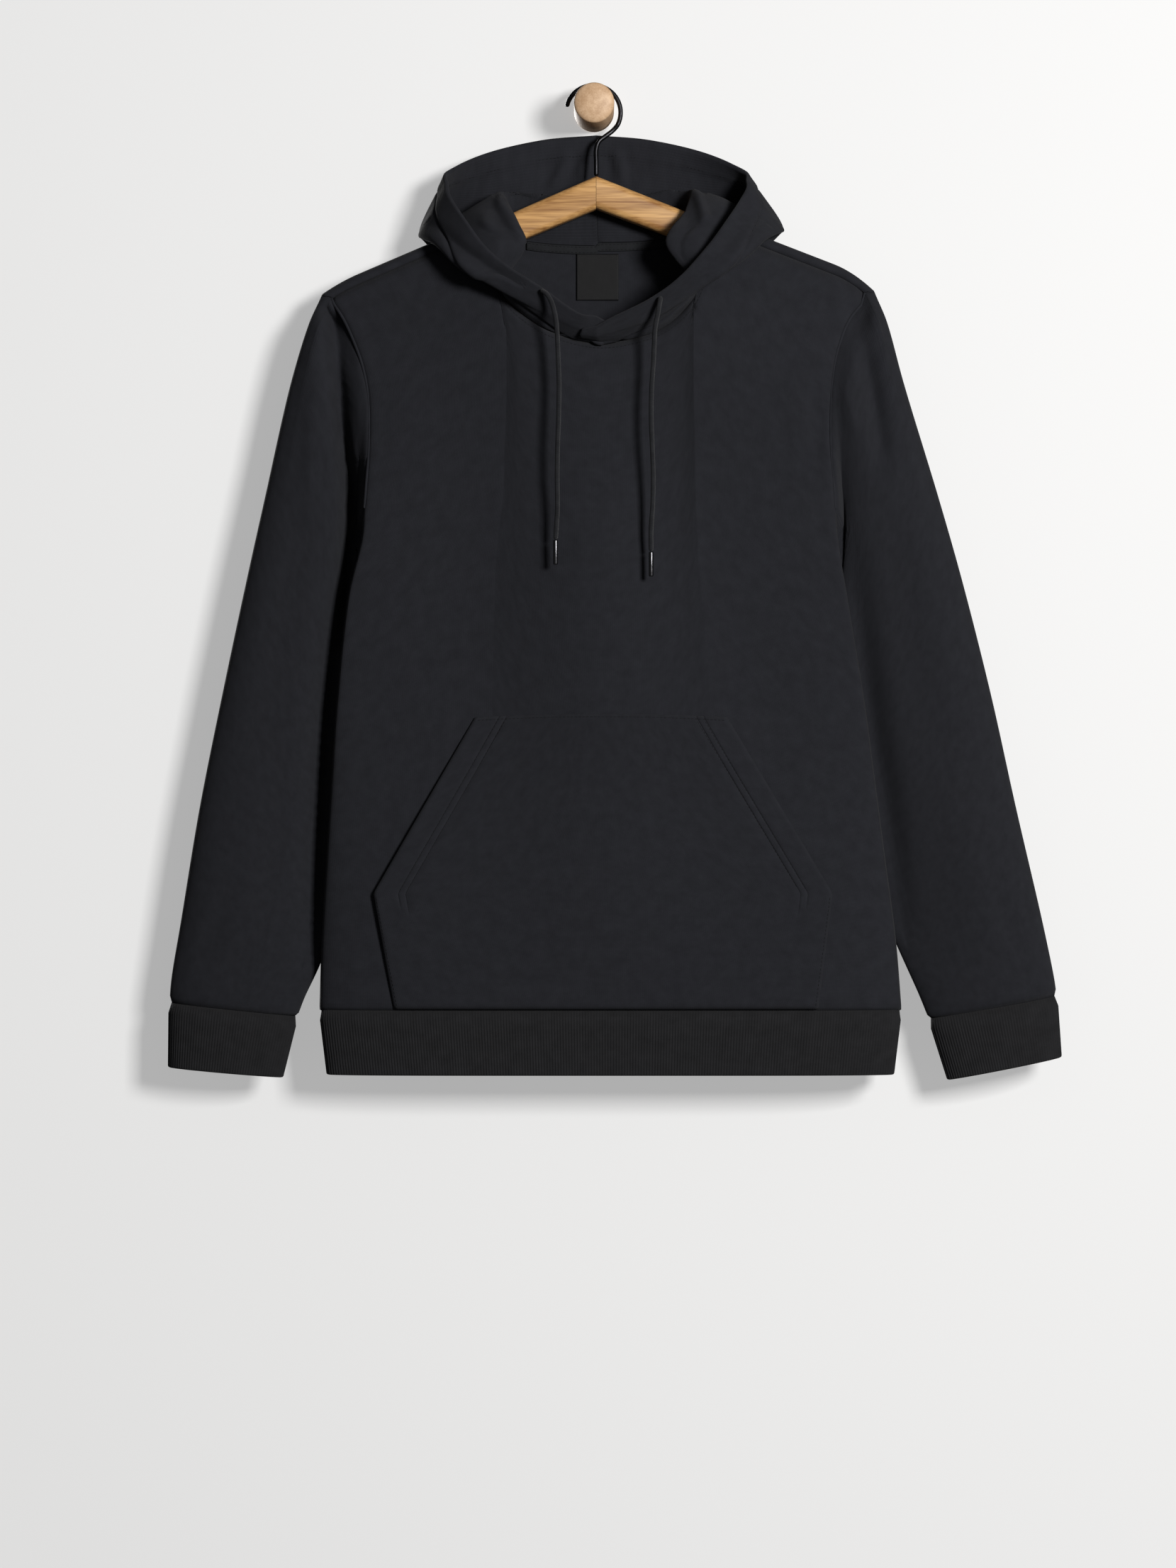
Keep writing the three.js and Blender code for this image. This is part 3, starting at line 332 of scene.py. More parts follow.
KNIT = knit_group()
GRAIN = grain_group()

# %% Materials


def new_material(name, roughness, metallic=0.0):
    material = bpy.data.materials.new(name)
    material.use_nodes = True
    shader = material.node_tree.nodes["Principled BSDF"]
    shader.inputs["Roughness"].default_value = roughness
    shader.inputs["Metallic"].default_value = metallic
    return material, material.node_tree, shader


def ramp(tree, factor, *stops):
    node = tree.nodes.new("ShaderNodeValToRGB")
    for element, (place, colour) in zip(node.color_ramp.elements, stops):
        element.position = place
        element.color = (*colour, 1)
    tree.links.new(factor, node.inputs[0])
    return node.outputs[0]


def bump(tree, shader, height, distance):
    node = tree.nodes.new("ShaderNodeBump")
    node.inputs["Distance"].default_value = distance
    tree.links.new(height, node.inputs["Height"])
    tree.links.new(node.outputs[0], shader.inputs["Normal"])


def knitted(name, dark, light, wales, courses, relief, sheen, roughness=0.95):
    material, tree, shader = new_material(name, roughness)
    knit = tree.nodes.new("ShaderNodeGroup")
    knit.node_tree = KNIT
    knit.inputs["Wales per metre"].default_value = wales
    knit.inputs["Courses per metre"].default_value = courses
    tree.links.new(ramp(tree, knit.outputs["Mottle"], (0.3, dark), (0.7, light)), shader.inputs["Base Color"])
    bump(tree, shader, knit.outputs["Height"], relief * MM)
    shader.inputs["Sheen Weight"].default_value = sheen
    shader.inputs["Sheen Roughness"].default_value = 0.45
    shader.inputs["Specular IOR Level"].default_value = 0.12
    return material


def wooden(name, dark, light, along_axis, slope, stretch, roughness):
    """Wood whose grain runs along one axis of the piece, turned by the piece's slope."""
    material, tree, shader = new_material(name, roughness)
    place = tree.nodes.new("ShaderNodeTexCoord")
    mapping = tree.nodes.new("ShaderNodeMapping")
    mapping.inputs["Rotation"].default_value = (0, slope, 0)
    mapping.inputs["Scale"].default_value = [stretch if axis == along_axis else 1 for axis in range(3)]
    tree.links.new(place.outputs["Object"], mapping.inputs["Vector"])
    grain = tree.nodes.new("ShaderNodeGroup")
    grain.node_tree = GRAIN
    tree.links.new(mapping.outputs[0], grain.inputs["Coordinate"])
    blend = math_node(tree, "ADD", math_node(tree, "MULTIPLY", grain.outputs["Pores"], 0.35),
                      math_node(tree, "MULTIPLY", grain.outputs["Bands"], 0.65))
    tree.links.new(ramp(tree, blend, (0.36, dark), (0.62, light)), shader.inputs["Base Color"])
    bump(tree, shader, grain.outputs["Pores"], 0.08 * MM)
    return material


def metal(name, colour, roughness):
    material, tree, shader = new_material(name, roughness, 1.0)
    place = tree.nodes.new("ShaderNodeTexCoord")
    noise = tree.nodes.new("ShaderNodeTexNoise")
    noise.inputs["Scale"].default_value = 400
    tree.links.new(place.outputs["Object"], noise.inputs["Vector"])
    low, high = roughness * 0.8, roughness * 1.25
    tree.links.new(
        ramp(tree, noise.outputs["Fac"], (0.3, (low, low, low)), (0.7, (high, high, high))),
        shader.inputs["Roughness"],
    )
    shader.inputs["Base Color"].default_value = (*colour, 1)
    return material


FLEECE_DARK, FLEECE_LIGHT = (0.0145, 0.015, 0.0185), (0.019, 0.0198, 0.0243)
fleece = knitted("black fleece", FLEECE_DARK, FLEECE_LIGHT, 1100, 1500, 0.14, 0.03)
rib = knitted("rib knit", (0.0125, 0.0125, 0.0135), (0.0175, 0.0175, 0.019), 900, 1300, 0.12, 0.03)
tape_cloth = knitted("neck tape", (0.012, 0.0125, 0.014), (0.017, 0.018, 0.02), 1300, 1300, 0.08, 0.05)
label_satin = knitted(
    "label satin", (0.005, 0.005, 0.0055), (0.007, 0.007, 0.0075), 4000, 2500, 0.03, 0.0, 0.5,
)
braid = knitted("braided cord", (0.011, 0.0115, 0.0135), (0.021, 0.022, 0.025), 950, 650, 0.3, 0.1, 0.85)
thread = knitted("sewing thread", (0.006, 0.006, 0.007), (0.01, 0.0105, 0.012), 3000, 3000, 0.05, 0.0, 0.7)
oak_left = wooden("oak, left arm", (0.24, 0.105, 0.03), (0.62, 0.35, 0.13), 0, 0.405, 0.045, 0.4)
oak_right = wooden("oak, right arm", (0.26, 0.115, 0.034), (0.64, 0.37, 0.14), 0, -0.369, 0.045, 0.4)
beech = wooden("beech peg", (0.47, 0.29, 0.16), (0.66, 0.45, 0.28), 1, 0, 0.08, 0.55)
wire = metal("black wire", (0.022, 0.022, 0.024), 0.36)
gunmetal = metal("gunmetal tip", (0.07, 0.07, 0.075), 0.25)


def dress(piece, material):
    """The last step for every piece: its finish and its place on the frame."""
    piece.data.materials.clear()
    piece.data.materials.append(material)
    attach(piece, "root")


# %% [markdown]
# ## The drawstrings
# Two ends of one round braided cord leave the hood's tunnel through small stitched slits and hang down the
# chest, each with a metal tip. They could be curves with a round bevel. A grid rolled round the same line is
# used instead, because its UV map lets the braid run round the cord.

# %% Drawstrings and their tips
CORD_WIDTH = 4
TIP_LENGTH = 21
TIP_GAP = 0.3
END_STEPS = 5
# Any direction that no cord or wire runs along
ROLL_REFERENCE = (0.31, 0.92, 0.23)
# From the slit in the tunnel down to the tip: x, z and depth from the wall
CORDS = {
    "left": [
        (-45, -163, 94.4), (-40, -167, 99), (-36, -174, 101), (-32.8, -186, 101),
        (-31.2, -201, 99.5), (-30.6, -215, 98.5), (-29.6, -244, 98), (-30, -269, 98.5),
        (-30.8, -295, 99), (-31.2, -321, 99), (-31, -348, 99), (-32.6, -374, 98.5),
    ],
    "right": [
        (56.2, -169, 95.5), (55.4, -174, 99), (53.6, -184, 101), (51.4, -196, 101),
        (50.7, -208, 99.5), (50.2, -221, 98.5), (48.6, -245, 98), (48.1, -270, 98.5),
        (49, -295, 99), (49.8, -320, 99), (49.4, -345, 99), (48, -366, 98.5), (48.1, -384, 98),
    ],
}


def rolled(name, line, radii, sides):
    """A round bar along a line, with its own radius at each point, closed at both ends."""
    ahead = np.gradient(line, axis=0)
    ahead /= np.linalg.norm(ahead, axis=1, keepdims=True)
    side = np.cross(ahead, ROLL_REFERENCE)
    side /= np.linalg.norm(side, axis=1, keepdims=True)
    up = np.cross(ahead, side)
    angles = np.linspace(0, 2 * np.pi, sides + 1)[None, :, None]
    ring = side[:, None] * np.cos(angles) + up[:, None] * np.sin(angles)
    points = line[:, None] + ring * np.asarray(radii)[:, None, None]
    far = lengths_of(line) * MM
    round_it = np.linspace(0, 2 * np.pi * max(radii) * MM, sides + 1)
    piece = put_grid(name, points[:, ::-1], flat=np.stack(np.meshgrid(round_it, far), axis=-1))
    merge(piece)
    bpy.ops.object.shade_smooth()
    return piece


def round_ends(line, radius):
    """A line with rounded ends: the points, and the radius at each."""
    start, end = line[0], line[-1]
    bend = np.sin(np.linspace(0, np.pi / 2, END_STEPS))
    back = 1 - np.cos(np.linspace(0, np.pi / 2, END_STEPS))
    first = start + (line[1] - start) / np.linalg.norm(line[1] - start) * (back[:, None] * radius)
    last = end + (line[-2] - end) / np.linalg.norm(line[-2] - end) * (back[::-1, None] * radius)
    inner = [p for p in line[1:-1] if min(np.linalg.norm(p - start), np.linalg.norm(p - end)) > radius * 1.05]
    radii = [*(bend * radius), *[radius] * len(inner), *(bend[::-1] * radius)]
    return np.vstack([first, inner, last]), np.maximum(radii, 1e-3)


for side, route in CORDS.items():
    line = smooth_line([(x, -depth, z) for x, z, depth in route], 12)
    cord_line, radii = round_ends(line, CORD_WIDTH / 2)
    cord = rolled(f"cord_{side}", cord_line, radii, 16)
    x, y, z = line[-1]
    bpy.ops.mesh.primitive_cylinder_add(
        vertices=32, radius=CORD_WIDTH / 2 * MM, depth=TIP_LENGTH * MM,
        location=(x * MM, y * MM, (z - TIP_GAP - TIP_LENGTH / 2) * MM),
    )
    tip = bpy.context.object
    tip.name = tip.data.name = f"cord_tip_{side}"
    bpy.ops.object.transform_apply()
    bevel = tip.modifiers.new("rolled edges", "BEVEL")
    bevel.width = 0.9 * MM
    bevel.segments = 4
    bevel.limit_method = "ANGLE"
    bpy.ops.object.modifier_apply(modifier=bevel.name)
    bpy.ops.object.shade_smooth_by_angle(angle=math.radians(40))
    dress(cord, braid)
    dress(tip, gunmetal)
    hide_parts(f"drawstring_{side}")
    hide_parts(f"aglet_{side}")
    length = lengths_of(line)[-1] * MM
    print("cord", side, "is", round(length * 1000), "mm long")

# %% [markdown]
# ## The room
# A plain white wall stands right behind the garment, as in the photo, over a plain pale floor. The wall only
# shows from the front and only to the camera, so that the soft light of the room also reaches the garment's
# back.

# %% Wall, floor and light
WALL_BEHIND = 1
LIGHTS_AIM = (0, 0, -0.45)


def paint(name, colour, glow):
    material, tree, shader = new_material(name, 0.9)
    shader.inputs["Base Color"].default_value = (*colour, 1)
    shader.inputs["Emission Color"].default_value = (1, 1, 1, 1)
    shader.inputs["Emission Strength"].default_value = glow
    clear = tree.nodes.new("ShaderNodeBsdfTransparent")
    mixer = tree.nodes.new("ShaderNodeMixShader")
    side = tree.nodes.new("ShaderNodeNewGeometry")
    ray = tree.nodes.new("ShaderNodeLightPath")
    unseen = math_node(tree, "SUBTRACT", 1.0, ray.outputs["Is Camera Ray"])
    tree.links.new(math_node(tree, "MAXIMUM", side.outputs["Backfacing"], unseen), mixer.inputs[0])
    tree.links.new(shader.outputs[0], mixer.inputs[1])
    tree.links.new(clear.outputs[0], mixer.inputs[2])
    tree.links.new(mixer.outputs[0], tree.nodes["Material Output"].inputs["Surface"])
    return material


def backdrop(name, location, rotation, material):
    bpy.ops.mesh.primitive_plane_add(size=12, location=location, rotation=rotation)
    plane = bpy.context.object
    plane.name = name
    bpy.ops.object.transform_apply()
    plane.data.materials.append(material)


wall_paint = paint("white wall", (0.45, 0.45, 0.45), 0.4)
backdrop("wall", (0, WALL_BEHIND * MM, 3.95), (math.pi / 2, 0, 0), wall_paint)
backdrop("floor", (0, 0, -2.05), (0, 0, 0), paint("pale floor", (0.8, 0.79, 0.77), 0.2))

world = bpy.data.worlds.new("soft room")
bpy.context.scene.world = world
world.use_nodes = True
world.node_tree.nodes["Background"].inputs[0].default_value = (1, 0.99, 0.98, 1)
world.node_tree.nodes["Background"].inputs[1].default_value = 0.1


def soft_light(name, place, size, power, colour):
    bpy.ops.object.light_add(type="AREA", location=place)
    light = bpy.context.object
    light.name = name
    light.data.size = size
    light.data.energy = power
    light.data.color = colour
    aim = np.array(LIGHTS_AIM) - np.array(place)
    light.rotation_euler = (
        math.atan2(math.hypot(aim[0], aim[1]), -aim[2]),
        0,
        math.atan2(aim[1], aim[0]) - math.pi / 2,
    )


soft_light("window", (1.75, -3.2, 0.35), 0.8, 150, (1, 0.99, 0.975))
soft_light("room behind", (-1.3, 3, 0.5), 1.6, 110, (1, 0.99, 0.98))
bpy.context.scene.view_settings.view_transform = "Standard"

# %% [markdown]
# ## Front and back
# The body is two panels. Laid flat, each is a sheet between four edges: the hem below, the two side edges,
# and the shoulders and neck on top. The sheet is spread between these edges, as a Coons patch. Its depth is
# bent through them like a thin plate, so that it has no creases, and is then let out a little. Below the arms
# each panel turns in behind its own edge and ends in the side seam, which the sleeves hide. The back panel
# also comes over the hanger to the shoulder seams on the front.

# %% The body's lines
FLEECE_WALL = 2.2
SIDE_SEAM_Y = -47
HEM_SEAM_Z = -773
UNDERARM_Z = -413
ARMHOLE_SHOWS_Z = -345
SHOULDER_TIP_Z = -167

# The hanger's arms under the cloth
HANGER_X, HANGER_TOP_Z, HANGER_Y = 1.8, -59.8, -33
ARM_SLOPE = {"left": 0.428, "right": 0.387}
TIP_DROOP = {"left": 0.0043, "right": 0.0082}
DROOP_FROM = 203
OVER_ARM_LIFT = 1.8

# x of the side edges, the depth of the front and back folds, and how far the side is tucked in
SIDE_EDGES = [
    dict(z=-773, left=-233, right=261, front=-58, back=-37, tuck=3),
    dict(z=-714, left=-231, right=256, front=-61, back=-35, tuck=13),
    dict(z=-647, left=-227, right=247, front=-64, back=-32, tuck=28),
    dict(z=-580, left=-222.5, right=238, front=-67, back=-30, tuck=41),
    dict(z=-513, left=-218, right=229, front=-69, back=-29, tuck=51),
    dict(z=-421, left=-208, right=214, front=-70, back=-28, tuck=58),
    dict(z=-372, left=-196.5, right=206, front=-70, back=-27, tuck=58),
    dict(z=-345, left=-195, right=204.8, front=-68, back=-27, tuck=58),
    dict(z=-328, left=-193.8, right=204, front=-67.5, back=-26, tuck=58),
    dict(z=-292, left=-191.3, right=201.5, front=-67, back=-25, tuck=58),
    dict(z=-252, left=-192, right=202, front=-64, back=-23, tuck=58),
    dict(z=-226, left=-196.7, right=204.5, front=-61, back=-22, tuck=58),
    dict(z=-206, left=-203.6, right=209, front=-57, back=-21.5, tuck=58),
    dict(z=-184, left=-213.6, right=218, front=-51, back=-21, tuck=58),
    dict(z=-167, left=-224.5, right=231.5, front=-45.6, back=-20.8, tuck=58),
]
FULLNESS = [
    dict(up=0, front=20, back=13),
    dict(up=0.2, front=15, back=8),
    dict(up=0.45, front=6, back=4),
    dict(up=0.7, front=1, back=1.5),
    dict(up=0.85, front=0, back=0),
    dict(up=1, front=0, back=0),
]
FRONT_NECK = [
    dict(left=6, right=6, z=-206.3, y=-74),
    dict(left=-14.5, right=29.5, z=-203.3, y=-74),
    dict(left=-44.6, right=60, z=-192.4, y=-73),
    dict(left=-73.5, right=84, z=-168, y=-68),
    dict(left=-85, right=93, z=-136, y=-57),
    dict(left=-88.6, right=95.4, z=-105, y=-45.6),
]
BACK_NECK_DROP, BACK_NECK_Y, BACK_NECK_SQUARENESS = 10, -21.2, 2.4
# The cloth's path over a hanger arm, from the front shoulder seam to the back. Its z is over the arm's line
OVER_ARM = [
    dict(step=0, y=-45.6, z=-8),
    dict(step=1, y=-44.7, z=-3.6),
    dict(step=2, y=-40.5, z=-0.2),
    dict(step=3, y=-33, z=0.5),
    dict(step=4, y=-25.5, z=-0.2),
    dict(step=5, y=-21.3, z=-3.6),
    dict(step=6, y=-20.8, z=-11),
]
TIP_REACH, TIP_REACH_WITHIN = 7.5, 8
NECK_FROM = 0.295
TUCK_PATH = [(0.1, 1.5, 0.84), (0.62, 0, 0.72), (1, 0, 0)]
ARMHOLE_CURVE = 0.9
ROUNDING_POWER, ROUNDING_RISE = 5, 0.5

# How fine the cloth is: rows up the body, and columns across shoulder, neck and tucked side
ROWS_BELOW_ARM, ROWS_TUCKED, ROWS_ARMHOLE = 96, 20, 54
SHOULDER_COLUMNS, NECK_COLUMNS, TUCK_COLUMNS = 44, 52, 14
OVER_ROWS = 24
# The plate is bent in units of this many millimetres, and what it misses at an edge fades over a few rows
PLATE_SCALE, EDGE_FADE = 100, 2.5


def ridge_z(x):
    """The height of the cloth over a hanger arm."""
    out = np.abs(x - HANGER_X)
    left = x < HANGER_X
    slope = np.where(left, ARM_SLOPE["left"], ARM_SLOPE["right"])
    droop = np.where(left, TIP_DROOP["left"], TIP_DROOP["right"])
    return HANGER_TOP_Z + OVER_ARM_LIFT - out * slope - droop * np.maximum(0, out - DROOP_FROM) ** 2


def neck_lines():
    """The front neck seam, and the back one, from the left shoulder to the right."""
    halves = []
    for side in ("left", "right"):
        half = np.array([(row[side], row["y"], row["z"]) for row in FRONT_NECK], float)
        half[-1, 2] = ridge_z(half[-1, 0]) + OVER_ARM[0]["z"]
        halves.append(half)
    front = smooth_line(np.vstack([halves[0][::-1], halves[1][1:]]), 40)
    shares = np.linspace(0, 1, 161)
    side = 2 * shares - 1
    drop = 1 - np.abs(side) ** BACK_NECK_SQUARENESS
    x = mix(front[0, 0], front[-1, 0], shares)
    edge = np.where(side < 0, front[0, 0], front[-1, 0])
    over = OVER_ARM[-1]
    level = ridge_z(edge) + over["z"] - BACK_NECK_DROP * drop
    return front, np.stack([x, mix(over["y"], BACK_NECK_Y, drop), level], axis=-1)


FRONT_LINE, BACK_LINE = neck_lines()
ALL_ACROSS = np.concatenate([
    np.linspace(0, 1, SHOULDER_COLUMNS, endpoint=False) ** 1.2 * NECK_FROM,
    np.linspace(NECK_FROM, 1 - NECK_FROM, NECK_COLUMNS + 1),
    1 - (np.linspace(0, 1, SHOULDER_COLUMNS, endpoint=False) ** 1.2 * NECK_FROM)[::-1],
])
ROW_LEVELS = np.concatenate([
    np.linspace(HEM_SEAM_Z, UNDERARM_Z, ROWS_BELOW_ARM, endpoint=False),
    np.linspace(UNDERARM_Z, ARMHOLE_SHOWS_Z, ROWS_TUCKED, endpoint=False),
    np.linspace(ARMHOLE_SHOWS_Z, SHOULDER_TIP_Z, ROWS_ARMHOLE + 1),
])
SIDES = read_table(SIDE_EDGES, "z", ROW_LEVELS)


def shoulder_edge(over_y, over_z, neck_x, side, shares):
    """A shoulder from its tip to the neck, at one place on the path over the arm."""
    sign = -1 if side == "left" else 1
    tip = SIDES[side][-1] + sign * TIP_REACH * smooth(1 + over_z / TIP_REACH_WITHIN)
    x = mix(tip, neck_x, shares)
    return np.stack([x, np.full_like(x, over_y), ridge_z(x) + over_z], axis=-1)


def top_edge(over, neck_line):
    """A panel's top edge: shoulder, neck and shoulder."""
    shares = ALL_ACROSS[:SHOULDER_COLUMNS] / NECK_FROM
    left = shoulder_edge(over["y"], over["z"], neck_line[0, 0], "left", shares)
    right = shoulder_edge(over["y"], over["z"], neck_line[-1, 0], "right", shares)
    return np.vstack([left, along(neck_line, np.linspace(0, 1, NECK_COLUMNS + 1)), right[::-1]])


def plate(places, depths, wanted):
    """A thin plate that is bent through depths at places, read at the wanted places."""
    def bend(a, b):
        gap = np.linalg.norm(a[:, None] - b[None], axis=-1) + 1e-9
        return gap**2 * np.log(gap)

    flat = np.hstack([np.ones((len(places), 1)), places])
    system = np.block([[bend(places, places) + 1e-3 * np.eye(len(places)), flat], [flat.T, np.zeros((3, 3))]])
    weights = np.linalg.solve(system, np.concatenate([depths, np.zeros(3)]))
    return bend(wanted, places) @ weights[:-3] + np.hstack([np.ones((len(wanted), 1)), wanted]) @ weights[-3:]


def eased(points):
    """The depth of a sheet without creases: a plate through its edges and a few places inside."""
    rows, columns = points.shape[:2]
    edge_rows = np.unique([*range(0, rows, 7), rows - 1])
    neck_ends = (SHOULDER_COLUMNS, SHOULDER_COLUMNS + NECK_COLUMNS)
    edge_columns = np.unique([*range(0, columns, 5), *neck_ends, columns - 1])
    inside = [(i, j) for i in range(20, rows - 45, 24) for j in range(22, columns - 21, 24)]
    chosen = [(i, j) for i in edge_rows for j in (0, columns - 1)]
    chosen += [(i, j) for i in (0, rows - 1) for j in edge_columns[1:-1]] + inside
    known = np.array([points[i, j] for i, j in chosen]) / PLATE_SCALE
    wanted = points[..., ::2].reshape(-1, 2) / PLATE_SCALE
    depth = plate(known[:, ::2], known[:, 1], wanted).reshape(rows, columns) * PLATE_SCALE
    missed = points[..., 1] - depth
    row, column = np.arange(rows)[:, None], np.arange(columns)[None]
    for edge, away in ((missed[:, :1], column), (missed[:, -1:], columns - 1 - column),
                       (missed[:1], row), (missed[-1:], rows - 1 - row)):
        depth = depth + edge * np.exp(-away / EDGE_FADE)
    depth[:, 0], depth[:, -1], depth[0], depth[-1] = (
        points[:, 0, 1], points[:, -1, 1], points[0, :, 1], points[-1, :, 1],
    )
    return depth


def panel_face(face, top):
    """The part of a panel that faces the front or back, from the hem up, spread between its four edges."""
    left = np.stack([SIDES["left"], SIDES[face], ROW_LEVELS], axis=-1)
    right = np.stack([SIDES["right"], SIDES[face], ROW_LEVELS], axis=-1)
    left[-1], right[-1] = top[0], top[-1]
    v = ((ROW_LEVELS - HEM_SEAM_Z) / (SHOULDER_TIP_Z - HEM_SEAM_Z))[:, None, None]
    u = ALL_ACROSS[None, :, None]
    across = mix(left[:, None], right[:, None], u)
    upward = mix(mix(left[0], right[0], u), top[None], v)
    corners = mix(mix(left[0], right[0], u), mix(left[-1], right[-1], u), v)
    points = across + upward - corners
    points[..., 1] = eased(points)
    full = read_table(FULLNESS, "up", v[:, 0, 0])[face][:, None]
    rounding = (1 - np.abs(2 * ALL_ACROSS - 1) ** ROUNDING_POWER) ** ROUNDING_RISE
    points[..., 1] += (-1 if face == "front" else 1) * full * rounding[None]
    return points


def tucked_side(face, side, edge):
    """The strip of a panel that is turned in behind its edge, for each row up to where the armhole shows."""
    inward = 1 if side == "left" else -1
    rows = []
    for j, level in enumerate(ROW_LEVELS):
        hidden = np.clip((level - UNDERARM_Z) / (ARMHOLE_SHOWS_Z - UNDERARM_Z), 0, 1)
        reach = (1 - hidden) ** ARMHOLE_CURVE
        tuck, x, y = SIDES["tuck"][j], SIDES[side][j], SIDES[face][j]
        path = [edge[j]]
        for share, past, depth in TUCK_PATH:
            path.append((x + inward * (share * tuck + past), mix(SIDE_SEAM_Y, y, depth), level))
        rows.append(along(smooth_line(path, 12), np.linspace(0, reach, TUCK_COLUMNS + 1)))
    return np.array(rows)


# %% [markdown]
# The seams are the lines that the eye follows on plain black cloth. Where two pieces are sewn together the
# cloth dips into the seam, so the rows of points beside each seam are drawn in a little, and the front gets
# the few soft folds that it has.

# %% Front and back panels
SEAM_DIP, SEAM_DIP_WIDTH = 1, 3.4
SEAM_SLIT, SEAM_SLIT_WIDTH = 1.5, 0.9


def dip(distance):
    """How deep the cloth sinks at this distance from a seam: a soft hollow with a narrow slit in it."""
    soft = SEAM_DIP * np.exp(-((distance / SEAM_DIP_WIDTH) ** 2))
    return -soft - SEAM_SLIT * np.exp(-((distance / SEAM_SLIT_WIDTH) ** 2))


faces = {
    "front": panel_face("front", top_edge(OVER_ARM[0], FRONT_LINE)),
    "back": panel_face("back", top_edge(OVER_ARM[-1], BACK_LINE)),
}
tucks = {
    face: {
        "left": tucked_side(face, "left", faces[face][:, 0]),
        "right": tucked_side(face, "right", faces[face][:, -1]),
    }
    for face in faces
}

NECK_STITCHING = 4.2
NECK_GROOVE, NECK_GROOVE_WIDTH = 0.8, 1.3
# The few soft folds of the front, as paths of x and z, with a width and a height
FRONT_FOLDS = [
    ([(188, -243), (190, -270), (187, -310)], 9, -1.6),
    ([(168, -230), (176, -262), (180, -300)], 12, 1.2),
    ([(-150, -215), (-158, -260), (-160, -320)], 22, 1.2),
    ([(-60, -560), (-20, -640), (-10, -740)], 60, 1.5),
    ([(120, -430), (150, -520), (170, -640)], 40, -1.8),
    ([(-190, -450), (-180, -560), (-190, -680)], 30, -1.5),
]
BACK_FOLDS = [
    ([(-120, -240), (-60, -330), (-30, -460)], 30, 2.0),
    ([(130, -240), (80, -340), (60, -480)], 34, 1.8),
    ([(-170, -380), (-120, -500), (-110, -660)], 26, -1.8),
    ([(180, -380), (140, -520), (150, -690)], 30, -1.6),
]


def body_relief(points, face):
    """Dips at the seams of a panel's face, and its folds."""
    x, z = points[..., 0], points[..., 2]
    show = smooth((z - ARMHOLE_SHOWS_Z + 40) / 50)
    left, right = points[:, :1, 0], points[:, -1:, 0]
    height = dip(x - left) * show + dip(right - x) * show
    height += dip(z - HEM_SEAM_Z)
    top = points[-1]
    gap = np.interp(x, top[:, 0], top[:, 2]) - z
    if face == "front":
        to_neck = points[:, :, None, ::2] - FRONT_LINE[None, None, ::8, ::2]
        near_neck = np.linalg.norm(to_neck, axis=-1).min(axis=2)
        height += dip(np.minimum(near_neck, np.maximum(gap, 0)))
        height -= NECK_GROOVE * np.exp(-(((near_neck - NECK_STITCHING) / NECK_GROOVE_WIDTH) ** 2))
    for path, width, rise in FRONT_FOLDS if face == "front" else BACK_FOLDS:
        height += fold(points, path, width, rise)
    return height


def body_panel(face):
    points = faces[face]
    shaped = points.copy()
    sign = -1 if face == "front" else 1
    shaped[..., 1] += sign * body_relief(points, face)
    left, right = tucks[face]["left"], tucks[face]["right"]
    for strip, edge, before in ((left, 0, points[:, 0]), (right, -1, points[:, -1])):
        moved = (shaped[:, edge] - before)[:, None]
        strip += moved * np.linspace(1, 0, TUCK_COLUMNS + 1)[None, :, None]
    whole = np.concatenate([left[:, ::-1][:, :-1], shaped, right[:, 1:]], axis=1)
    return whole if face == "front" else whole[:, ::-1]


front = put_grid("front", body_panel("front"))
merge(front)
thicken(front, FLEECE_WALL)
dress(front, fleece)
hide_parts("front_panel")


def over_shoulder(side):
    """The strip of the back panel that comes over a hanger arm to the shoulder seam on the front."""
    steps = np.linspace(6, 0, OVER_ROWS)
    path = read_table(OVER_ARM, "step", steps)
    shares = ALL_ACROSS[: SHOULDER_COLUMNS + 1] / NECK_FROM
    neck_x = FRONT_LINE[0, 0] if side == "left" else FRONT_LINE[-1, 0]
    rows = [shoulder_edge(y, z, neck_x, side, shares) for y, z in zip(path["y"], path["z"])]
    rows = np.array(rows)
    from_seam = lengths_of(rows[::-1, 20])[::-1, None]
    rows[..., 1] -= dip(from_seam)
    return rows[:, ::-1] if side == "left" else rows


back = put_grid("back", body_panel("back"))
strips = [put_grid(f"over_{side}", over_shoulder(side)) for side in ("left", "right")]
merge(back, strips)
thicken(back, FLEECE_WALL)
dress(back, fleece)
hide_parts("back_panel")
print("front and back:", len(front.data.polygons), len(back.data.polygons), "faces")

# %% [markdown]
# ## Sleeves
# A sleeve is a tube that starts at the armhole and ends at the cuff. Its rings run from the armhole's own
# outline to a flattened oval, and then shrink to the wrist. Both sleeves hang a little behind the body, so a
# deep soft fold forms just outside each armhole seam. It is the strongest fold on the garment.

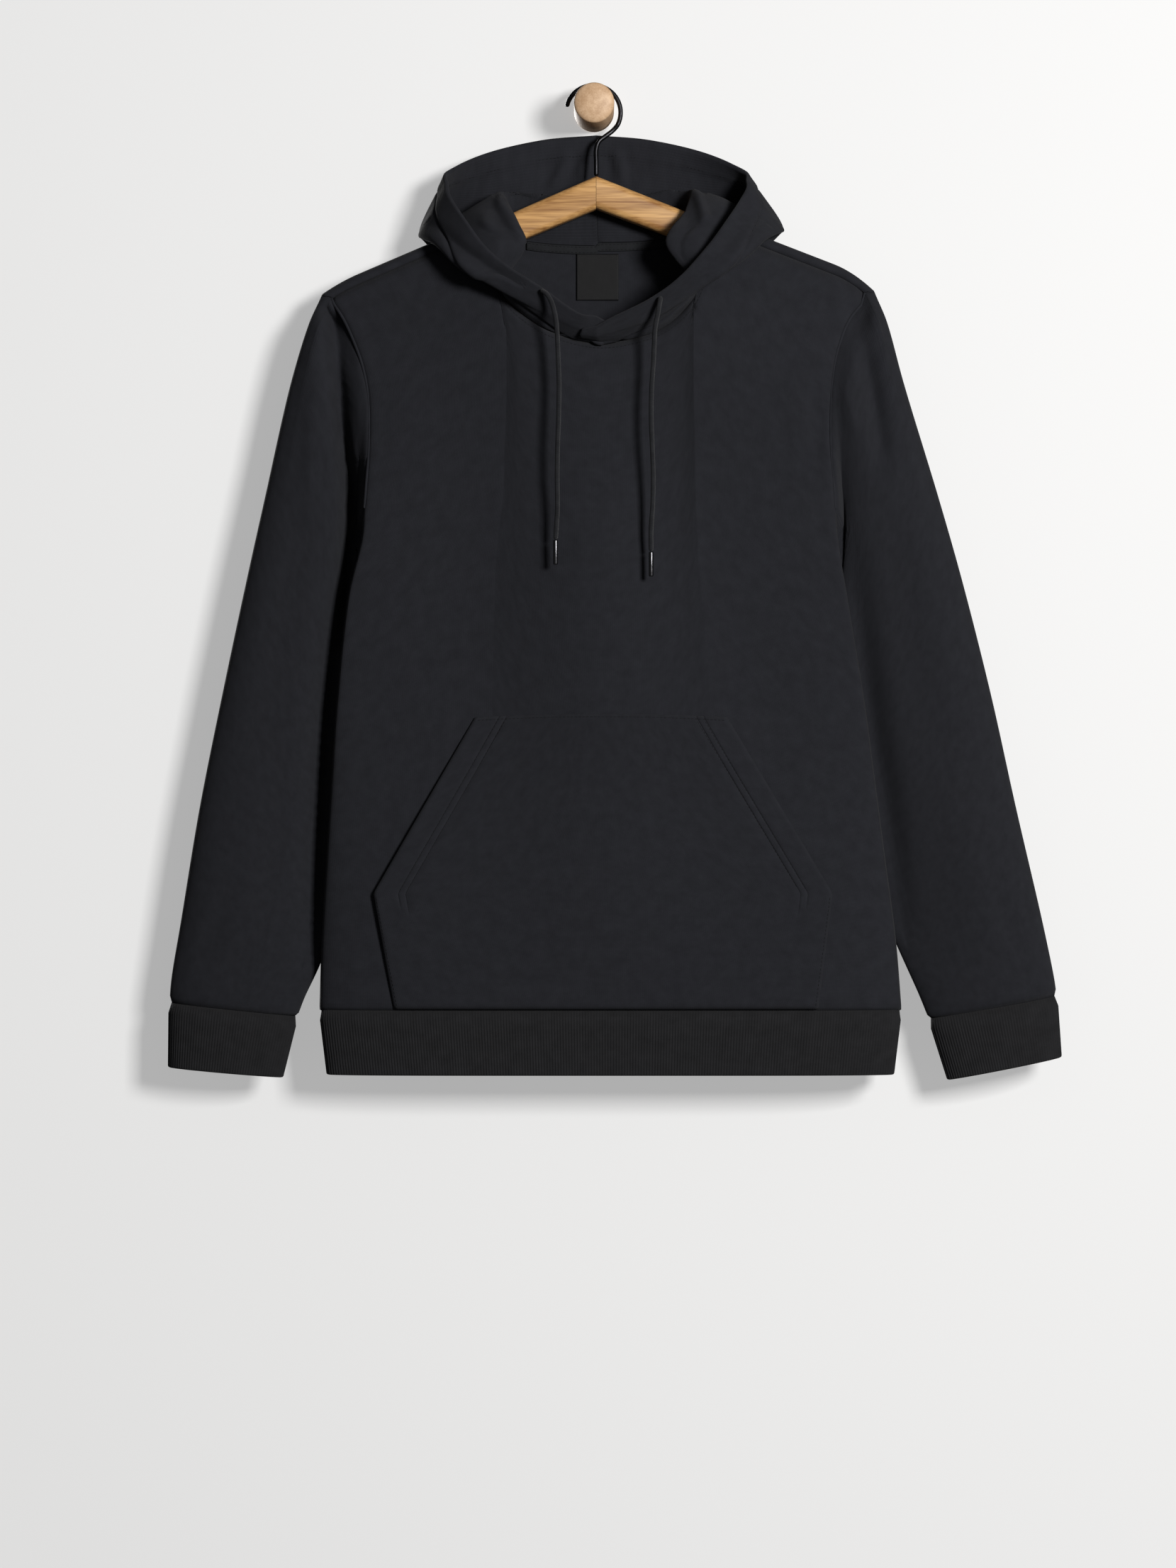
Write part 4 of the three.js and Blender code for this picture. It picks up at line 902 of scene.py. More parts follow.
# %% Sleeves
SLEEVES = {
    "left": {
        "outer": [
            (-243, -189), (-258, -238), (-280, -335), (-296, -407), (-316.6, -504), (-336, -601),
            (-352, -698), (-360, -746), (-362, -767.5),
        ],
        "inner": [
            (-159, -430), (-173, -480), (-192, -560), (-216, -660), (-232, -726),
            (-249, -764), (-254.5, -779),
        ],
        "cuff": [(-362.5, -822.5), (-267.5, -831)],
    },
    "right": {
        "outer": [
            (250, -189), (263.5, -238), (293, -335), (313.5, -407), (338, -504), (359.5, -601),
            (382, -698), (392, -746), (394.5, -762),
        ],
        "inner": [
            (168, -431), (183, -480), (203, -560), (236, -660), (258, -714), (279, -761), (287, -781),
        ],
        "cuff": [(398, -814), (303.5, -833)],
    },
}
SLEEVE_MID_Y = -46
SLEEVE_DEPTH, CUFF_DEPTH = (27, 8), (19, 15)
SLEEVE_ROWS = 130
SLEEVE_SPACING = 1.35
WRIST_FROM = 0.8
ARMHOLE_FADE, ARMHOLE_DEPTH_FADE = 0.3, 0.047
# How folds and the armhole's dip turn over between the sleeve's front and back
FOLD_TURN, SEAM_TURN = 6, 2.5
# How far round the armhole, in steps of its 26, its seam is hidden, shows, and crosses the shoulder
LOOP_STEPS, HIDDEN_STEPS, SHOWN_STEPS, OVER_STEPS = 26, 3, 7, 6


def armhole_loop(side):
    """The armhole's outline from the underarm up the front and down the back, and each point's step."""
    column = 0 if side == "left" else -1
    sides = {}
    for face in ("front", "back"):
        hidden = tucks[face][side][ROWS_BELOW_ARM : ROWS_BELOW_ARM + ROWS_TUCKED, TUCK_COLUMNS]
        shown = faces[face][ROWS_BELOW_ARM + ROWS_TUCKED :, column]
        sides[face] = np.vstack([hidden, shown])
    steps = np.linspace(0, OVER_STEPS, 30)[1:-1]
    path = read_table(OVER_ARM, "step", steps)
    over = np.array([
        shoulder_edge(y, z, 0, side, np.zeros(1))[0] for y, z in zip(path["y"], path["z"])
    ])
    up = np.concatenate([
        np.linspace(0, HIDDEN_STEPS, ROWS_TUCKED, endpoint=False),
        np.linspace(HIDDEN_STEPS, HIDDEN_STEPS + SHOWN_STEPS, ROWS_ARMHOLE + 1),
    ])
    tip = HIDDEN_STEPS + SHOWN_STEPS
    loop = np.vstack([sides["front"], over, sides["back"][::-1]])
    return loop, np.concatenate([up, tip + steps, LOOP_STEPS - up[::-1]])


def flat_line(start, pairs):
    return smooth_line([start] + [(x, SLEEVE_MID_Y, z) for x, z in pairs], 24)


def oval(outer, inner, steps, depth):
    """A flattened ring between the sleeve's two edges. It is deeper towards the outer edge."""
    angle = np.pi - 2 * np.pi * steps / LOOP_STEPS
    share = ((1 + np.cos(angle)) / 2)[..., None]
    ring = mix(inner, outer, share)
    ring[..., 1] = SLEEVE_MID_Y - np.sin(angle) * mix(depth[1], depth[0], share[..., 0])
    return ring


def sleeve_lines(side):
    loop, steps = armhole_loop(side)
    top = loop[np.abs(steps - LOOP_STEPS / 2).argmin()]
    outer = flat_line((top[0], SLEEVE_MID_Y, top[2]), SLEEVES[side]["outer"])
    inner = flat_line((loop[0, 0], SLEEVE_MID_Y, loop[0, 2]), SLEEVES[side]["inner"])
    return loop, steps, outer, inner


def sleeve_rings(side):
    loop, steps, outer, inner = sleeve_lines(side)
    first = oval(outer[0], inner[0], steps, SLEEVE_DEPTH)
    t = np.linspace(0, 1, SLEEVE_ROWS + 1) ** SLEEVE_SPACING
    end = smooth((t - WRIST_FROM) / (1 - WRIST_FROM))
    rings = []
    for share, wrist, out, into in zip(t, end, along(outer, t), along(inner, t)):
        depth = mix(np.array(SLEEVE_DEPTH), np.array(CUFF_DEPTH), wrist)
        ring = oval(out, into, steps, depth)
        fade = 1 - smooth(share / ARMHOLE_FADE)
        depth_fade = 1 - smooth(share / ARMHOLE_DEPTH_FADE)
        rings.append(ring + (loop - first) * np.array([fade, depth_fade, fade]))
    return np.array(rings), steps


# The folds of each sleeve's front, as paths of x and z, with a width and a height
SLEEVE_FOLDS = {
    "left": [
        ([(-234, -150), (-226, -176), (-221, -205), (-218.5, -235), (-217, -262), (-214, -292),
          (-209.5, -340), (-211, -400), (-216, -470)], 6.5, -24),
        ([(-224, -165), (-212, -215), (-209, -262), (-207, -300), (-204, -350)], 8, -10),
        ([(-242, -190), (-239, -240), (-240, -300), (-243, -370)], 9, 3),
        ([(-203, -300), (-209, -370), (-218, -430), (-228, -520), (-236, -640), (-242, -740)], 13, -20),
        ([(-262, -300), (-276, -400), (-300, -540)], 26, 2),
        ([(-244, -330), (-262, -430), (-288, -560)], 16, -1.8),
        ([(-270, -560), (-290, -640), (-300, -730)], 20, 1.8),
        ([(-300, -660), (-320, -700), (-335, -745)], 9, -1.4),
    ],
    "right": [
        ([(224, -178), (231, -215), (238, -250), (243, -285), (246, -320)], 8.5, -8),
        ([(214, -236), (218, -262), (221, -290)], 7, 3),
        ([(218, -360), (226, -430), (237, -520), (253, -620), (266, -720)], 12, -9),
        ([(262, -300), (284, -400), (310, -540)], 24, 1.8),
        ([(250, -330), (268, -430), (290, -560)], 16, -1.6),
        ([(300, -560), (322, -640), (336, -730)], 20, 1.8),
        ([(330, -650), (352, -695), (366, -745)], 9, -1.4),
    ],
}
SLEEVE_BACK_FOLDS = {
    "left": [
        ([(-222, -190), (-226, -260), (-228, -340)], 14, -4),
        ([(-250, -340), (-270, -460), (-296, -600)], 20, 2),
    ],
    "right": [
        ([(230, -190), (236, -260), (240, -340)], 14, -3.5),
        ([(262, -340), (286, -460), (312, -600)], 20, 2),
    ],
}


def make_sleeve(side):
    rings, steps = sleeve_rings(side)
    last = rings[-1].copy()
    distance = np.concatenate([[0], np.cumsum(np.linalg.norm(np.diff(rings, axis=0), axis=-1).mean(axis=1))])
    on_front = smooth((SLEEVE_MID_Y - rings[..., 1]) / FOLD_TURN)
    for path, width, rise in SLEEVE_FOLDS[side]:
        rings[..., 1] -= fold(rings, path, width, rise) * on_front
    for path, width, rise in SLEEVE_BACK_FOLDS[side]:
        on_back = smooth((rings[..., 1] - SLEEVE_MID_Y) / FOLD_TURN)
        rings[..., 1] += fold(rings, path, width, rise) * on_back
    facing = np.clip(SEAM_TURN * np.sin(np.pi - 2 * np.pi * steps / LOOP_STEPS), -1, 1)
    rings[..., 1] -= dip(distance)[:, None] * facing
    seam = dip(distance[-1] - distance)[:, None].repeat(rings.shape[1], axis=1)
    shaped = raised(rings if side == "left" else rings[:, ::-1], seam, closed=True)
    shaped[:, -1] = shaped[:, 0]
    piece = put_grid(f"sleeve_of_{side}", shaped)
    merge(piece)
    thicken(piece, FLEECE_WALL)
    dress(piece, fleece)
    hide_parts(f"sleeve_{side}")
    return piece, last, steps


sleeves = {side: make_sleeve(side) for side in ("left", "right")}

# %% [markdown]
# ## Ribs
# Cuffs and hem are knitted in fine one-by-one rib. Each rib is real relief here: the grid has several columns
# for each rib, and a Displace modifier lifts them by a wave across the band. The band's free edge is a fold,
# so its wall rounds off.

# %% Cuffs and hem band
RIB_WALL = 3
RIB_PITCH = 2.4
RIB_HEIGHT = 0.6
POINTS_A_RIB = 6
RIB_FADE_AT_SEAM, RIB_FADE_AT_EDGE = 3, 1.5
RIB_SEAM_SINK = 0.8
HEM_EDGE_Z = -828
HEM_MIDDLE_X, HEM_DRAWS_ACROSS, HEM_DRAWS_DEEP = 14, 0.027, 0.05
BAND_ROWS = 11


def spaced(loop, count):
    """The same closed loop with evenly spaced points."""
    closed = np.vstack([loop, loop[:1]]) if not np.allclose(loop[0], loop[-1]) else loop
    return along(closed, np.linspace(0, 1, count + 1))


def ribbed(name, rows, replaces, flip):
    """A ribbed band through closed rows of points, from the seam to the free edge."""
    count = rows.shape[1] - 1
    ribs = count // POINTS_A_RIB
    wave = 0.5 + 0.5 * np.cos(2 * np.pi * np.arange(count + 1) * ribs / count)
    from_seam = np.concatenate([[0], np.cumsum(np.linalg.norm(np.diff(rows, axis=0), axis=-1).mean(axis=1))])
    from_edge = from_seam[-1] - from_seam
    strength = smooth(from_seam / RIB_FADE_AT_SEAM) * smooth(from_edge / RIB_FADE_AT_EDGE)
    height = np.repeat(dip(from_seam)[:, None] * RIB_SEAM_SINK, count + 1, axis=1)
    points = raised(rows[:, ::-1] if flip else rows, height, closed=True)
    wall = np.repeat(rounded_wall(from_edge, RIB_WALL)[:, None], count + 1, axis=1)
    piece = put_grid(name, points, wall, wave[None] * strength[:, None])
    merge(piece)
    thicken(piece, RIB_WALL - RIB_HEIGHT, RIB_HEIGHT)
    dress(piece, rib)
    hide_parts(replaces)
    return piece


def band_shares():
    """Rows close together near the free edge, where the wall rounds off."""
    return np.concatenate([np.linspace(0, 0.94, BAND_ROWS - 4), [0.965, 0.982, 0.993, 1]])


def make_cuff(side):
    _, last, steps = sleeves[side]
    outer, inner = (np.array([x, SLEEVE_MID_Y, z]) for x, z in SLEEVES[side]["cuff"])
    end = oval(outer, inner, steps, CUFF_DEPTH)
    count = int(lengths_of(last)[-1] / RIB_PITCH) * POINTS_A_RIB
    first, final = spaced(last, count), spaced(end, count)
    t = band_shares()[:, None, None]
    return ribbed(f"cuff_of_{side}", mix(first[None], final[None], t), f"cuff_{side}", side == "right")


cuffs = {side: make_cuff(side) for side in ("left", "right")}


def hem_loop():
    """The panels' lower edges, all the way round: along the front and back along the back."""
    front_row = faces["front"][0]
    back_row = faces["back"][0]
    return np.vstack([
        tucks["front"]["left"][0][::-1][:-1], front_row, tucks["front"]["right"][0][1:],
        tucks["back"]["right"][0][::-1][1:-1], back_row[::-1], tucks["back"]["left"][0][1:],
    ])


def make_hem():
    loop = hem_loop()
    count = int(lengths_of(loop)[-1] / RIB_PITCH) * POINTS_A_RIB
    loop = spaced(loop, count)
    t = band_shares()[:, None]
    x = mix(loop[None, :, 0], HEM_MIDDLE_X, HEM_DRAWS_ACROSS * t)
    y = mix(loop[None, :, 1], SIDE_SEAM_Y, HEM_DRAWS_DEEP * t)
    z = mix(loop[None, :, 2], HEM_EDGE_Z, t)
    return ribbed("hem", np.stack([x, y, z], axis=-1), "hem_band", True)


hem = make_hem()
print("ribbed bands:", [len(piece.data.polygons) for piece in (*cuffs.values(), hem)], "faces")

# %% [markdown]
# ## The hood
# Laid back, the hood is one long band of cloth that is sewn to the neck all round. At the back it stands up,
# folds over, hangs down inside as a pouch, and comes up again to the face edge, which ends in a tunnel for
# the cord. At the front its two edges cross. For each place along the neck seam a short table gives the
# band's path, and the rows between are read from it.

# %% Hood
HOOD_FRONT = {
    "left": [
        dict(at=0, bulge=(0, -195, 81), edge=(0, -184, 84)),
        dict(at=0.1, bulge=(16, -192, 84), edge=(16, -181, 88)),
        dict(at=0.22, bulge=(46, -178, 86), edge=(45, -161, 91)),
        dict(at=0.36, bulge=(79, -162, 86), edge=(75, -142, 92)),
    ],
    "right": [
        dict(at=0, bulge=(0, -200, 86), edge=(0, -193, 89.5)),
        dict(at=0.1, bulge=(14.5, -195, 86), edge=(14.5, -185, 90)),
        dict(at=0.22, bulge=(47, -184, 87), edge=(45, -170, 92)),
        dict(at=0.36, bulge=(78, -166, 87), edge=(71, -151, 93)),
    ],
}
HOOD_BACK = [
    dict(at=0.48, fold=(60, -121, 70), inside=(80, -124, 76), bottom=(100, -146, 80), bulge=(112, -142, 84),
         edge=(95, -124, 90)),
    dict(at=0.56, fold=(73, -95, 58), inside=(94, -102, 64), bottom=(122, -124, 60), bulge=(135, -122, 66),
         edge=(110, -103, 84)),
    dict(at=0.64, fold=(82, -76, 40), inside=(100, -85, 44), bottom=(134, -106, 35), bulge=(149, -113, 42),
         edge=(124, -80, 66)),
    dict(at=0.7, fold=(77, -71, 25), inside=(96, -84, 24), bottom=(132, -103, 20), bulge=(151, -110, 22),
         edge=(127, -67, 54)),
    dict(at=0.76, fold=(64, -70, 17.5), inside=(82, -86, 15), bottom=(122, -132, 12), bulge=(145, -110, 7.5),
         edge=(126, -56, 43)),
    dict(at=0.86, fold=(40, -74, 17), inside=(50, -110, 13), bottom=(74, -200, 9.5), bulge=(96, -120, 5),
         edge=(92, -38, 26)),
    dict(at=0.94, fold=(18, -76, 16.5), inside=(22, -120, 13), bottom=(34, -228, 9), bulge=(46, -130, 4.5),
         edge=(44, -26, 18)),
    dict(at=1, fold=(0, -76, 16.5), inside=(0, -120, 13), bottom=(0, -236, 9), bulge=(0, -130, 4.5),
         edge=(0, -22, 15.5)),
]
POUCH_STRETCH, POUCH_LIFT, POUCH_FROM, POUCH_TO = 1.06, 5, 0.4, 0.55
FLAPS = {
    "left": {"behind": 2.4, "ends": [(15, -203.6, 70), (14, -197, 76), (12, -189, 79.5)]},
    "right": {"behind": -3.6, "ends": [(-12, -202, 80), (-12, -199, 84.5), (-10, -195.5, 88.5)]},
}
FLAP_LIFT, FLAP_FADE = 1.5, 0.09
HOOD_SEAM_SINK, CREASE_FADE = 0.9, 0.06
TUNNEL_GROOVE, TUNNEL_GROOVE_WIDTH = 1.3, 2
TUNNEL_PINCH, TUNNEL_PINCH_WIDTH = 0.3, 1.6
PROFILE = ["fold", "inside", "bottom", "bulge", "edge"]
PLAIN_SHARES = {"fold": 0.3, "inside": 0.55, "bottom": 0.8}
TUNNEL_WALL, TUNNEL_AT_FRONT, TUNNEL_AT_BACK = 4, 28, 17
HOOD_ROWS, HOOD_POINTS, FLAP_ROWS = 200, 146, 8


def neck_seam(side):
    """The neck seam on one side, from the centre front over the shoulder to the centre back."""
    def from_middle(line):
        middle = len(line) // 2
        return line[: middle + 1][::-1] if side == "left" else line[middle:]

    front_half = from_middle(along(FRONT_LINE, np.linspace(0, 1, 81)))
    back_half = from_middle(along(BACK_LINE, np.linspace(0, 1, 81)))[::-1]
    path = read_table(OVER_ARM, "step", np.linspace(0, 6, 20)[1:-1])
    x = front_half[-1, 0]
    over = np.array([(x, y, ridge_z(x) + z) for y, z in zip(path["y"], path["z"])])
    return np.vstack([front_half, over, back_half])


def hood_table(side, seam):
    table = []
    for station in HOOD_FRONT[side] + HOOD_BACK:
        start = along(seam, [station["at"]])[0]
        start = (abs(start[0] - HANGER_X), start[2], -start[1])
        share = smooth((station["at"] - POUCH_FROM) / (POUCH_TO - POUCH_FROM))
        pouch = float(share) if side == "right" else 0
        row = {"at": station["at"]}
        for name in PROFILE:
            plain = [mix(a, b, PLAIN_SHARES.get(name, 1)) for a, b in zip(start, station["bulge"])]
            out, z, depth = station.get(name, plain)
            moved = 0 if name in ("fold", "edge") else pouch
            row[f"{name}_out"] = out * mix(1, POUCH_STRETCH, moved)
            row[f"{name}_z"] = z + POUCH_LIFT * moved
            row[f"{name}_depth"] = depth
        table.append(row)
    return table


def hood_half(side):
    """One half of the hood: a row for each place on the neck seam, from the seam to the face edge."""
    sign = -1 if side == "left" else 1
    seam = neck_seam(side)
    at = np.linspace(0, 1, HOOD_ROWS)
    table = read_table(hood_table(side, seam), "at", at)
    starts = along(seam, at)
    flap_share = 1 - smooth(at / FLAP_FADE)
    starts[:, 1] += FLAPS[side]["behind"] * flap_share
    starts[:, 2] += FLAP_LIFT * flap_share
    shares = np.linspace(0, 1, HOOD_POINTS + 1)
    rows = []
    for i, start in enumerate(starts):
        path = [start] + [
            (HANGER_X + sign * table[f"{name}_out"][i], -table[f"{name}_depth"][i], table[f"{name}_z"][i])
            for name in PROFILE
        ]
        rows.append(along(smooth_line(path, 16), shares))
    rows = np.array(rows)
    flap = along(smooth_line([(x, -depth, z) for x, z, depth in FLAPS[side]["ends"]], 16), shares)
    blend = np.linspace(0, 1, FLAP_ROWS, endpoint=False)[:, None, None]
    return np.concatenate([mix(flap[None], rows[:1], blend), rows])


halves = {side: hood_half(side) for side in ("left", "right")}


def from_edge(rows):
    """How far each point lies from the face edge, along its row."""
    steps = np.linalg.norm(np.diff(rows, axis=1), axis=-1)
    far = np.cumsum(steps[:, ::-1], axis=1)[:, ::-1]
    return np.concatenate([far, np.zeros((len(rows), 1))], axis=1)


def tunnel_width(rows):
    """The tunnel looks narrower at the back, where its cloth leans over."""
    at = np.linspace(0, 1, len(rows))
    return mix(TUNNEL_AT_FRONT, TUNNEL_AT_BACK, smooth((at - 0.5) / 0.3))[:, None]


# Creases of the hood: a path of x and z, a width, a height, and the shares of the cloth's way it lies on
STAND, OUTSIDE = (0.02, 0.42), (0.7, 1)
HOOD_FOLDS = {
    "left": [
        ([(-12, -34), (-17, -46), (-26, -66)], 3.5, 3, OUTSIDE),
        ([(-5, -32), (-8, -50), (-13, -72)], 3, -4.5, OUTSIDE),
        ([(-32, -40), (-36, -52), (-48, -68)], 4.5, 2.2, OUTSIDE),
        ([(-22, -36), (-27, -50), (-38, -68)], 3, -3, OUTSIDE),
        ([(-150, -112), (-130, -132), (-100, -150), (-70, -172)], 8, 3, OUTSIDE),
        ([(-142, -98), (-120, -120), (-92, -142), (-58, -162)], 6, -4, OUTSIDE),
        ([(-120, -150), (-90, -170), (-60, -188)], 7, -2.5, OUTSIDE),
        ([(-76, -72), (-80, -84), (-72, -101), (-58, -122)], 4, -6, STAND),
        ([(-86, -80), (-66, -69), (-44, -75)], 5, 3.5, STAND),
        ([(-64, -84), (-58, -104), (-44, -136)], 8, 3, STAND),
        ([(-92, -92), (-90, -110), (-78, -136)], 6, -3.5, STAND),
    ],
    "right": [
        ([(8, -33), (12, -48), (10, -70)], 3.5, 3, OUTSIDE),
        ([(17, -34), (23, -48), (26, -68)], 3, -4, OUTSIDE),
        ([(118, -62), (132, -76), (142, -96)], 6, 2.5, OUTSIDE),
        ([(148, -104), (126, -132), (98, -156)], 10, 2.4, OUTSIDE),
        ([(134, -96), (112, -126), (84, -148)], 7, -3.2, OUTSIDE),
        ([(85, -68), (90, -84), (95, -107), (92, -128)], 4, -6, STAND),
        ([(68, -72), (82, -66), (98, -76)], 5, 3.5, STAND),
        ([(76, -82), (80, -104), (74, -136)], 7, 2.6, STAND),
    ],
}


def hood_relief(rows, side):
    edge_far = from_edge(rows)
    seam_far = edge_far[:, :1] - edge_far
    height = dip(seam_far) * HOOD_SEAM_SINK
    past_tunnel = edge_far - tunnel_width(rows)
    height -= TUNNEL_GROOVE * np.exp(-((past_tunnel / TUNNEL_GROOVE_WIDTH) ** 2))
    share = seam_far / edge_far[:, :1]
    for path, width, rise, (first, last) in HOOD_FOLDS[side]:
        there = smooth((share - first) / CREASE_FADE) * smooth((last - share) / CREASE_FADE + (last == 1))
        height += fold(rows, path, width, rise) * there
    return height


def hood_wall(rows):
    """The wall as a share of the tunnel's: thin cloth, a pinch at the stitches, thick tunnel, round edge."""
    edge_far = from_edge(rows)
    thin = FLEECE_WALL / TUNNEL_WALL
    past_tunnel = edge_far - tunnel_width(rows)
    wall = mix(1, thin, smooth((past_tunnel + 3) / 3))
    wall *= 1 - TUNNEL_PINCH * np.exp(-((past_tunnel / TUNNEL_PINCH_WIDTH) ** 2))
    return wall * rounded_wall(edge_far, TUNNEL_WALL)


def make_hood(side):
    rows = halves[side]
    grid = rows if side == "left" else rows[:, ::-1]
    wall = hood_wall(rows)
    height = hood_relief(rows, side)
    if side == "right":
        wall, height = wall[:, ::-1], height[:, ::-1]
    # Both halves stay on the seam at the centre back
    height[-4:] *= np.linspace(1, 0, 4)[:, None]
    shaped = raised(grid, height)
    halves[side] = shaped if side == "left" else shaped[:, ::-1]
    piece = put_grid(f"hood_of_{side}", shaped, wall)
    merge(piece)
    thicken(piece, TUNNEL_WALL)
    dress(piece, fleece)
    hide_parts(f"hood_{side}")
    return piece


hoods = {side: make_hood(side) for side in ("left", "right")}
print("hood halves:", [len(piece.data.polygons) for piece in hoods.values()], "faces")

# %% [markdown]
# ## What lies on the body
# The pocket, the neck tape and the label lie on a panel. A ray straight back from each of their points finds
# the cloth below, and the piece is put just in front of it. The kangaroo pocket is sewn down on top, at its
# lower sides and in the hem seam, and its two slanted edges stay open.

# %% Pocket
LYING_GAP = 0.45
# Rays start a metre in front of the wall, in metres, and run straight back
RAY_FROM_Y, RAY_AHEAD = -1.0, (0, 1, 0)
# The pocket's corners: at its top, where the slanted openings end, and in the hem seam
POCKET = [
    dict(z=-524, left=-101, right=113),
    dict(z=-673, left=-187, right=202),
    dict(z=-771, left=-169.5, right=190),
]
POCKET_ARCH = 3
POCKET_PUFF, POCKET_PUFF_MIDDLE = 3.5, 0.35
POCKET_ROWS, POCKET_COLUMNS = 84, 96
POCKET_STITCHING = (18, 23.5)
STITCH_GROOVE, STITCH_GROOVE_WIDTH = 0.7, 0.9


def cloth_y(piece, x, z):
    """The y of a piece's outer face at points of x and z. Past its rim, its middle depth is taken."""
    found = np.zeros(x.shape)
    for index in np.ndindex(x.shape):
        start = (x[index] * MM, RAY_FROM_Y, z[index] * MM)
        hit, place, _, _ = piece.ray_cast(start, RAY_AHEAD)
        found[index] = place[1] / MM if hit else np.nan
    return np.where(np.isnan(found), np.nanmedian(found), found)


def pocket_outline(z):
    """The pocket's left and right edges: straight between the table's corners."""
    keys = [row["z"] for row in POCKET][::-1]
    return [np.interp(z, keys, [row[side] for row in POCKET][::-1]) for side in ("left", "right")]


def make_pocket():
    up = np.linspace(0, 1, POCKET_ROWS + 1)
    z = mix(POCKET[-1]["z"], POCKET[0]["z"], up)
    left, right = pocket_outline(z)
    # Columns keep their distance from the edges there, and close up round the lines of stitching
    top, corner = POCKET[:2]
    lean = math.cos(math.atan2(top["left"] - corner["left"], top["z"] - corner["z"]))
    rim = np.concatenate([np.linspace(0, 16.5, 8), np.arange(17, 25, 0.5)]) / lean
    spread = np.linspace(0, 1, POCKET_COLUMNS + 1 - 2 * len(rim) + 1)[:, None]
    middle = mix(left + rim[-1], right - rim[-1], spread)[1:-1]
    x = np.concatenate([left + rim[:, None], middle, right - rim[::-1, None]]).T
    across = (x - left[:, None]) / (right - left)[:, None]
    arch = POCKET_ARCH * 4 * across * (1 - across)
    z = z[:, None] + arch * smooth((up - 0.8) / 0.2)[:, None]
    puff = POCKET_PUFF * np.sin(np.pi * up)[:, None] * mix(POCKET_PUFF_MIDDLE, 1, np.abs(2 * across - 1) ** 2)
    for line in POCKET_STITCHING:
        far = np.minimum(x - left[:, None], right[:, None] - x) * lean - line
        above = smooth((z - (corner["z"] - line * 0.75)) / 3)
        puff -= STITCH_GROOVE * np.exp(-((far / STITCH_GROOVE_WIDTH) ** 2)) * above
    y = cloth_y(front, x, z) - FLEECE_WALL / 2 - LYING_GAP - puff
    points = np.stack([x, y, z], axis=-1)
    to_top = (1 - up)[:, None] * (POCKET[0]["z"] - POCKET[-1]["z"]) + 0 * x
    to_side = np.minimum(x - left[:, None], right[:, None] - x)
    wall = rounded_wall(np.minimum(to_top, to_side), FLEECE_WALL, 0.05)
    piece = put_grid("pocket", points, wall)
    thicken(piece, FLEECE_WALL)
    dress(piece, fleece)
    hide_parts("kangaroo_pocket")
    return piece


pocket = make_pocket()

# %% [markdown]
# The tape covers the neck seam inside the back neck, and the label is sewn below it. The label is left bare.

# %% Neck tape and label
TAPE_LEFT, TAPE_RIGHT, TAPE_HEIGHT, TAPE_DROP = -58, 70, 7, 0.5
LABEL_X, LABEL_TOP, LABEL_WIDTH, LABEL_HEIGHT = 3, -125, 36, 40
TAPE_WALL = 0.8


def lying(name, x, z, wall, lift, material, replaces):
    y = cloth_y(back, x, z) - wall / 2 - LYING_GAP - lift
    piece = put_grid(name, np.stack([x, y, z], axis=-1))
    thicken(piece, wall)
    dress(piece, material)
    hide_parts(replaces)
    return piece


def tape_top(x):
    return np.interp(x, BACK_LINE[:, 0], BACK_LINE[:, 2]) - TAPE_DROP


across = np.linspace(TAPE_LEFT, TAPE_RIGHT, 80)[None].repeat(9, axis=0)
down = np.linspace(TAPE_HEIGHT, 0, 9)[:, None]
tape = lying(
    "tape", across, tape_top(across) - down, TAPE_WALL,
    0.35 * np.sin(np.pi * down / TAPE_HEIGHT), tape_cloth, "neck_tape",
)
label_x = np.linspace(-0.5, 0.5, 37)[None].repeat(41, axis=0)
label_z = np.linspace(-1, 0, 41)[:, None].repeat(37, axis=1)
label_lift = 0.5 * (label_x + 0.5) * np.sin(np.pi * np.clip(-label_z, 0, 1)) ** 0.5
label = lying(
    "label", LABEL_X + LABEL_WIDTH * label_x, LABEL_TOP + LABEL_HEIGHT * label_z, TAPE_WALL,
    label_lift, label_satin, "neck_label",
)

# %% [markdown]
# ## Sewing
# Stitches are what makes plain black cloth read as a sewn garment. One stitch is a tiny rounded bar. It is
# modelled once, and then copied along each stitch line, where a ray has found the cloth, into one mesh.

# %% Stitches
STITCH_LENGTH, STITCH_PITCH, STITCH_WIDTH, STITCH_SINK = 2.5, 3.3, 0.62, 0.1
RAY_STEP = 1.5
# The rows beside the pocket's openings: the height they start at, and how long each is
OPENING_ROWS_TOP_Z, OPENING_ROWS = -527, (166, 164)
POCKET_SIDE_INSET = 2.2
POCKET_TOP_ROW = dict(left=-99, right=111, z=-526.5)
TUNNEL_STITCH_LIFT = 0.8


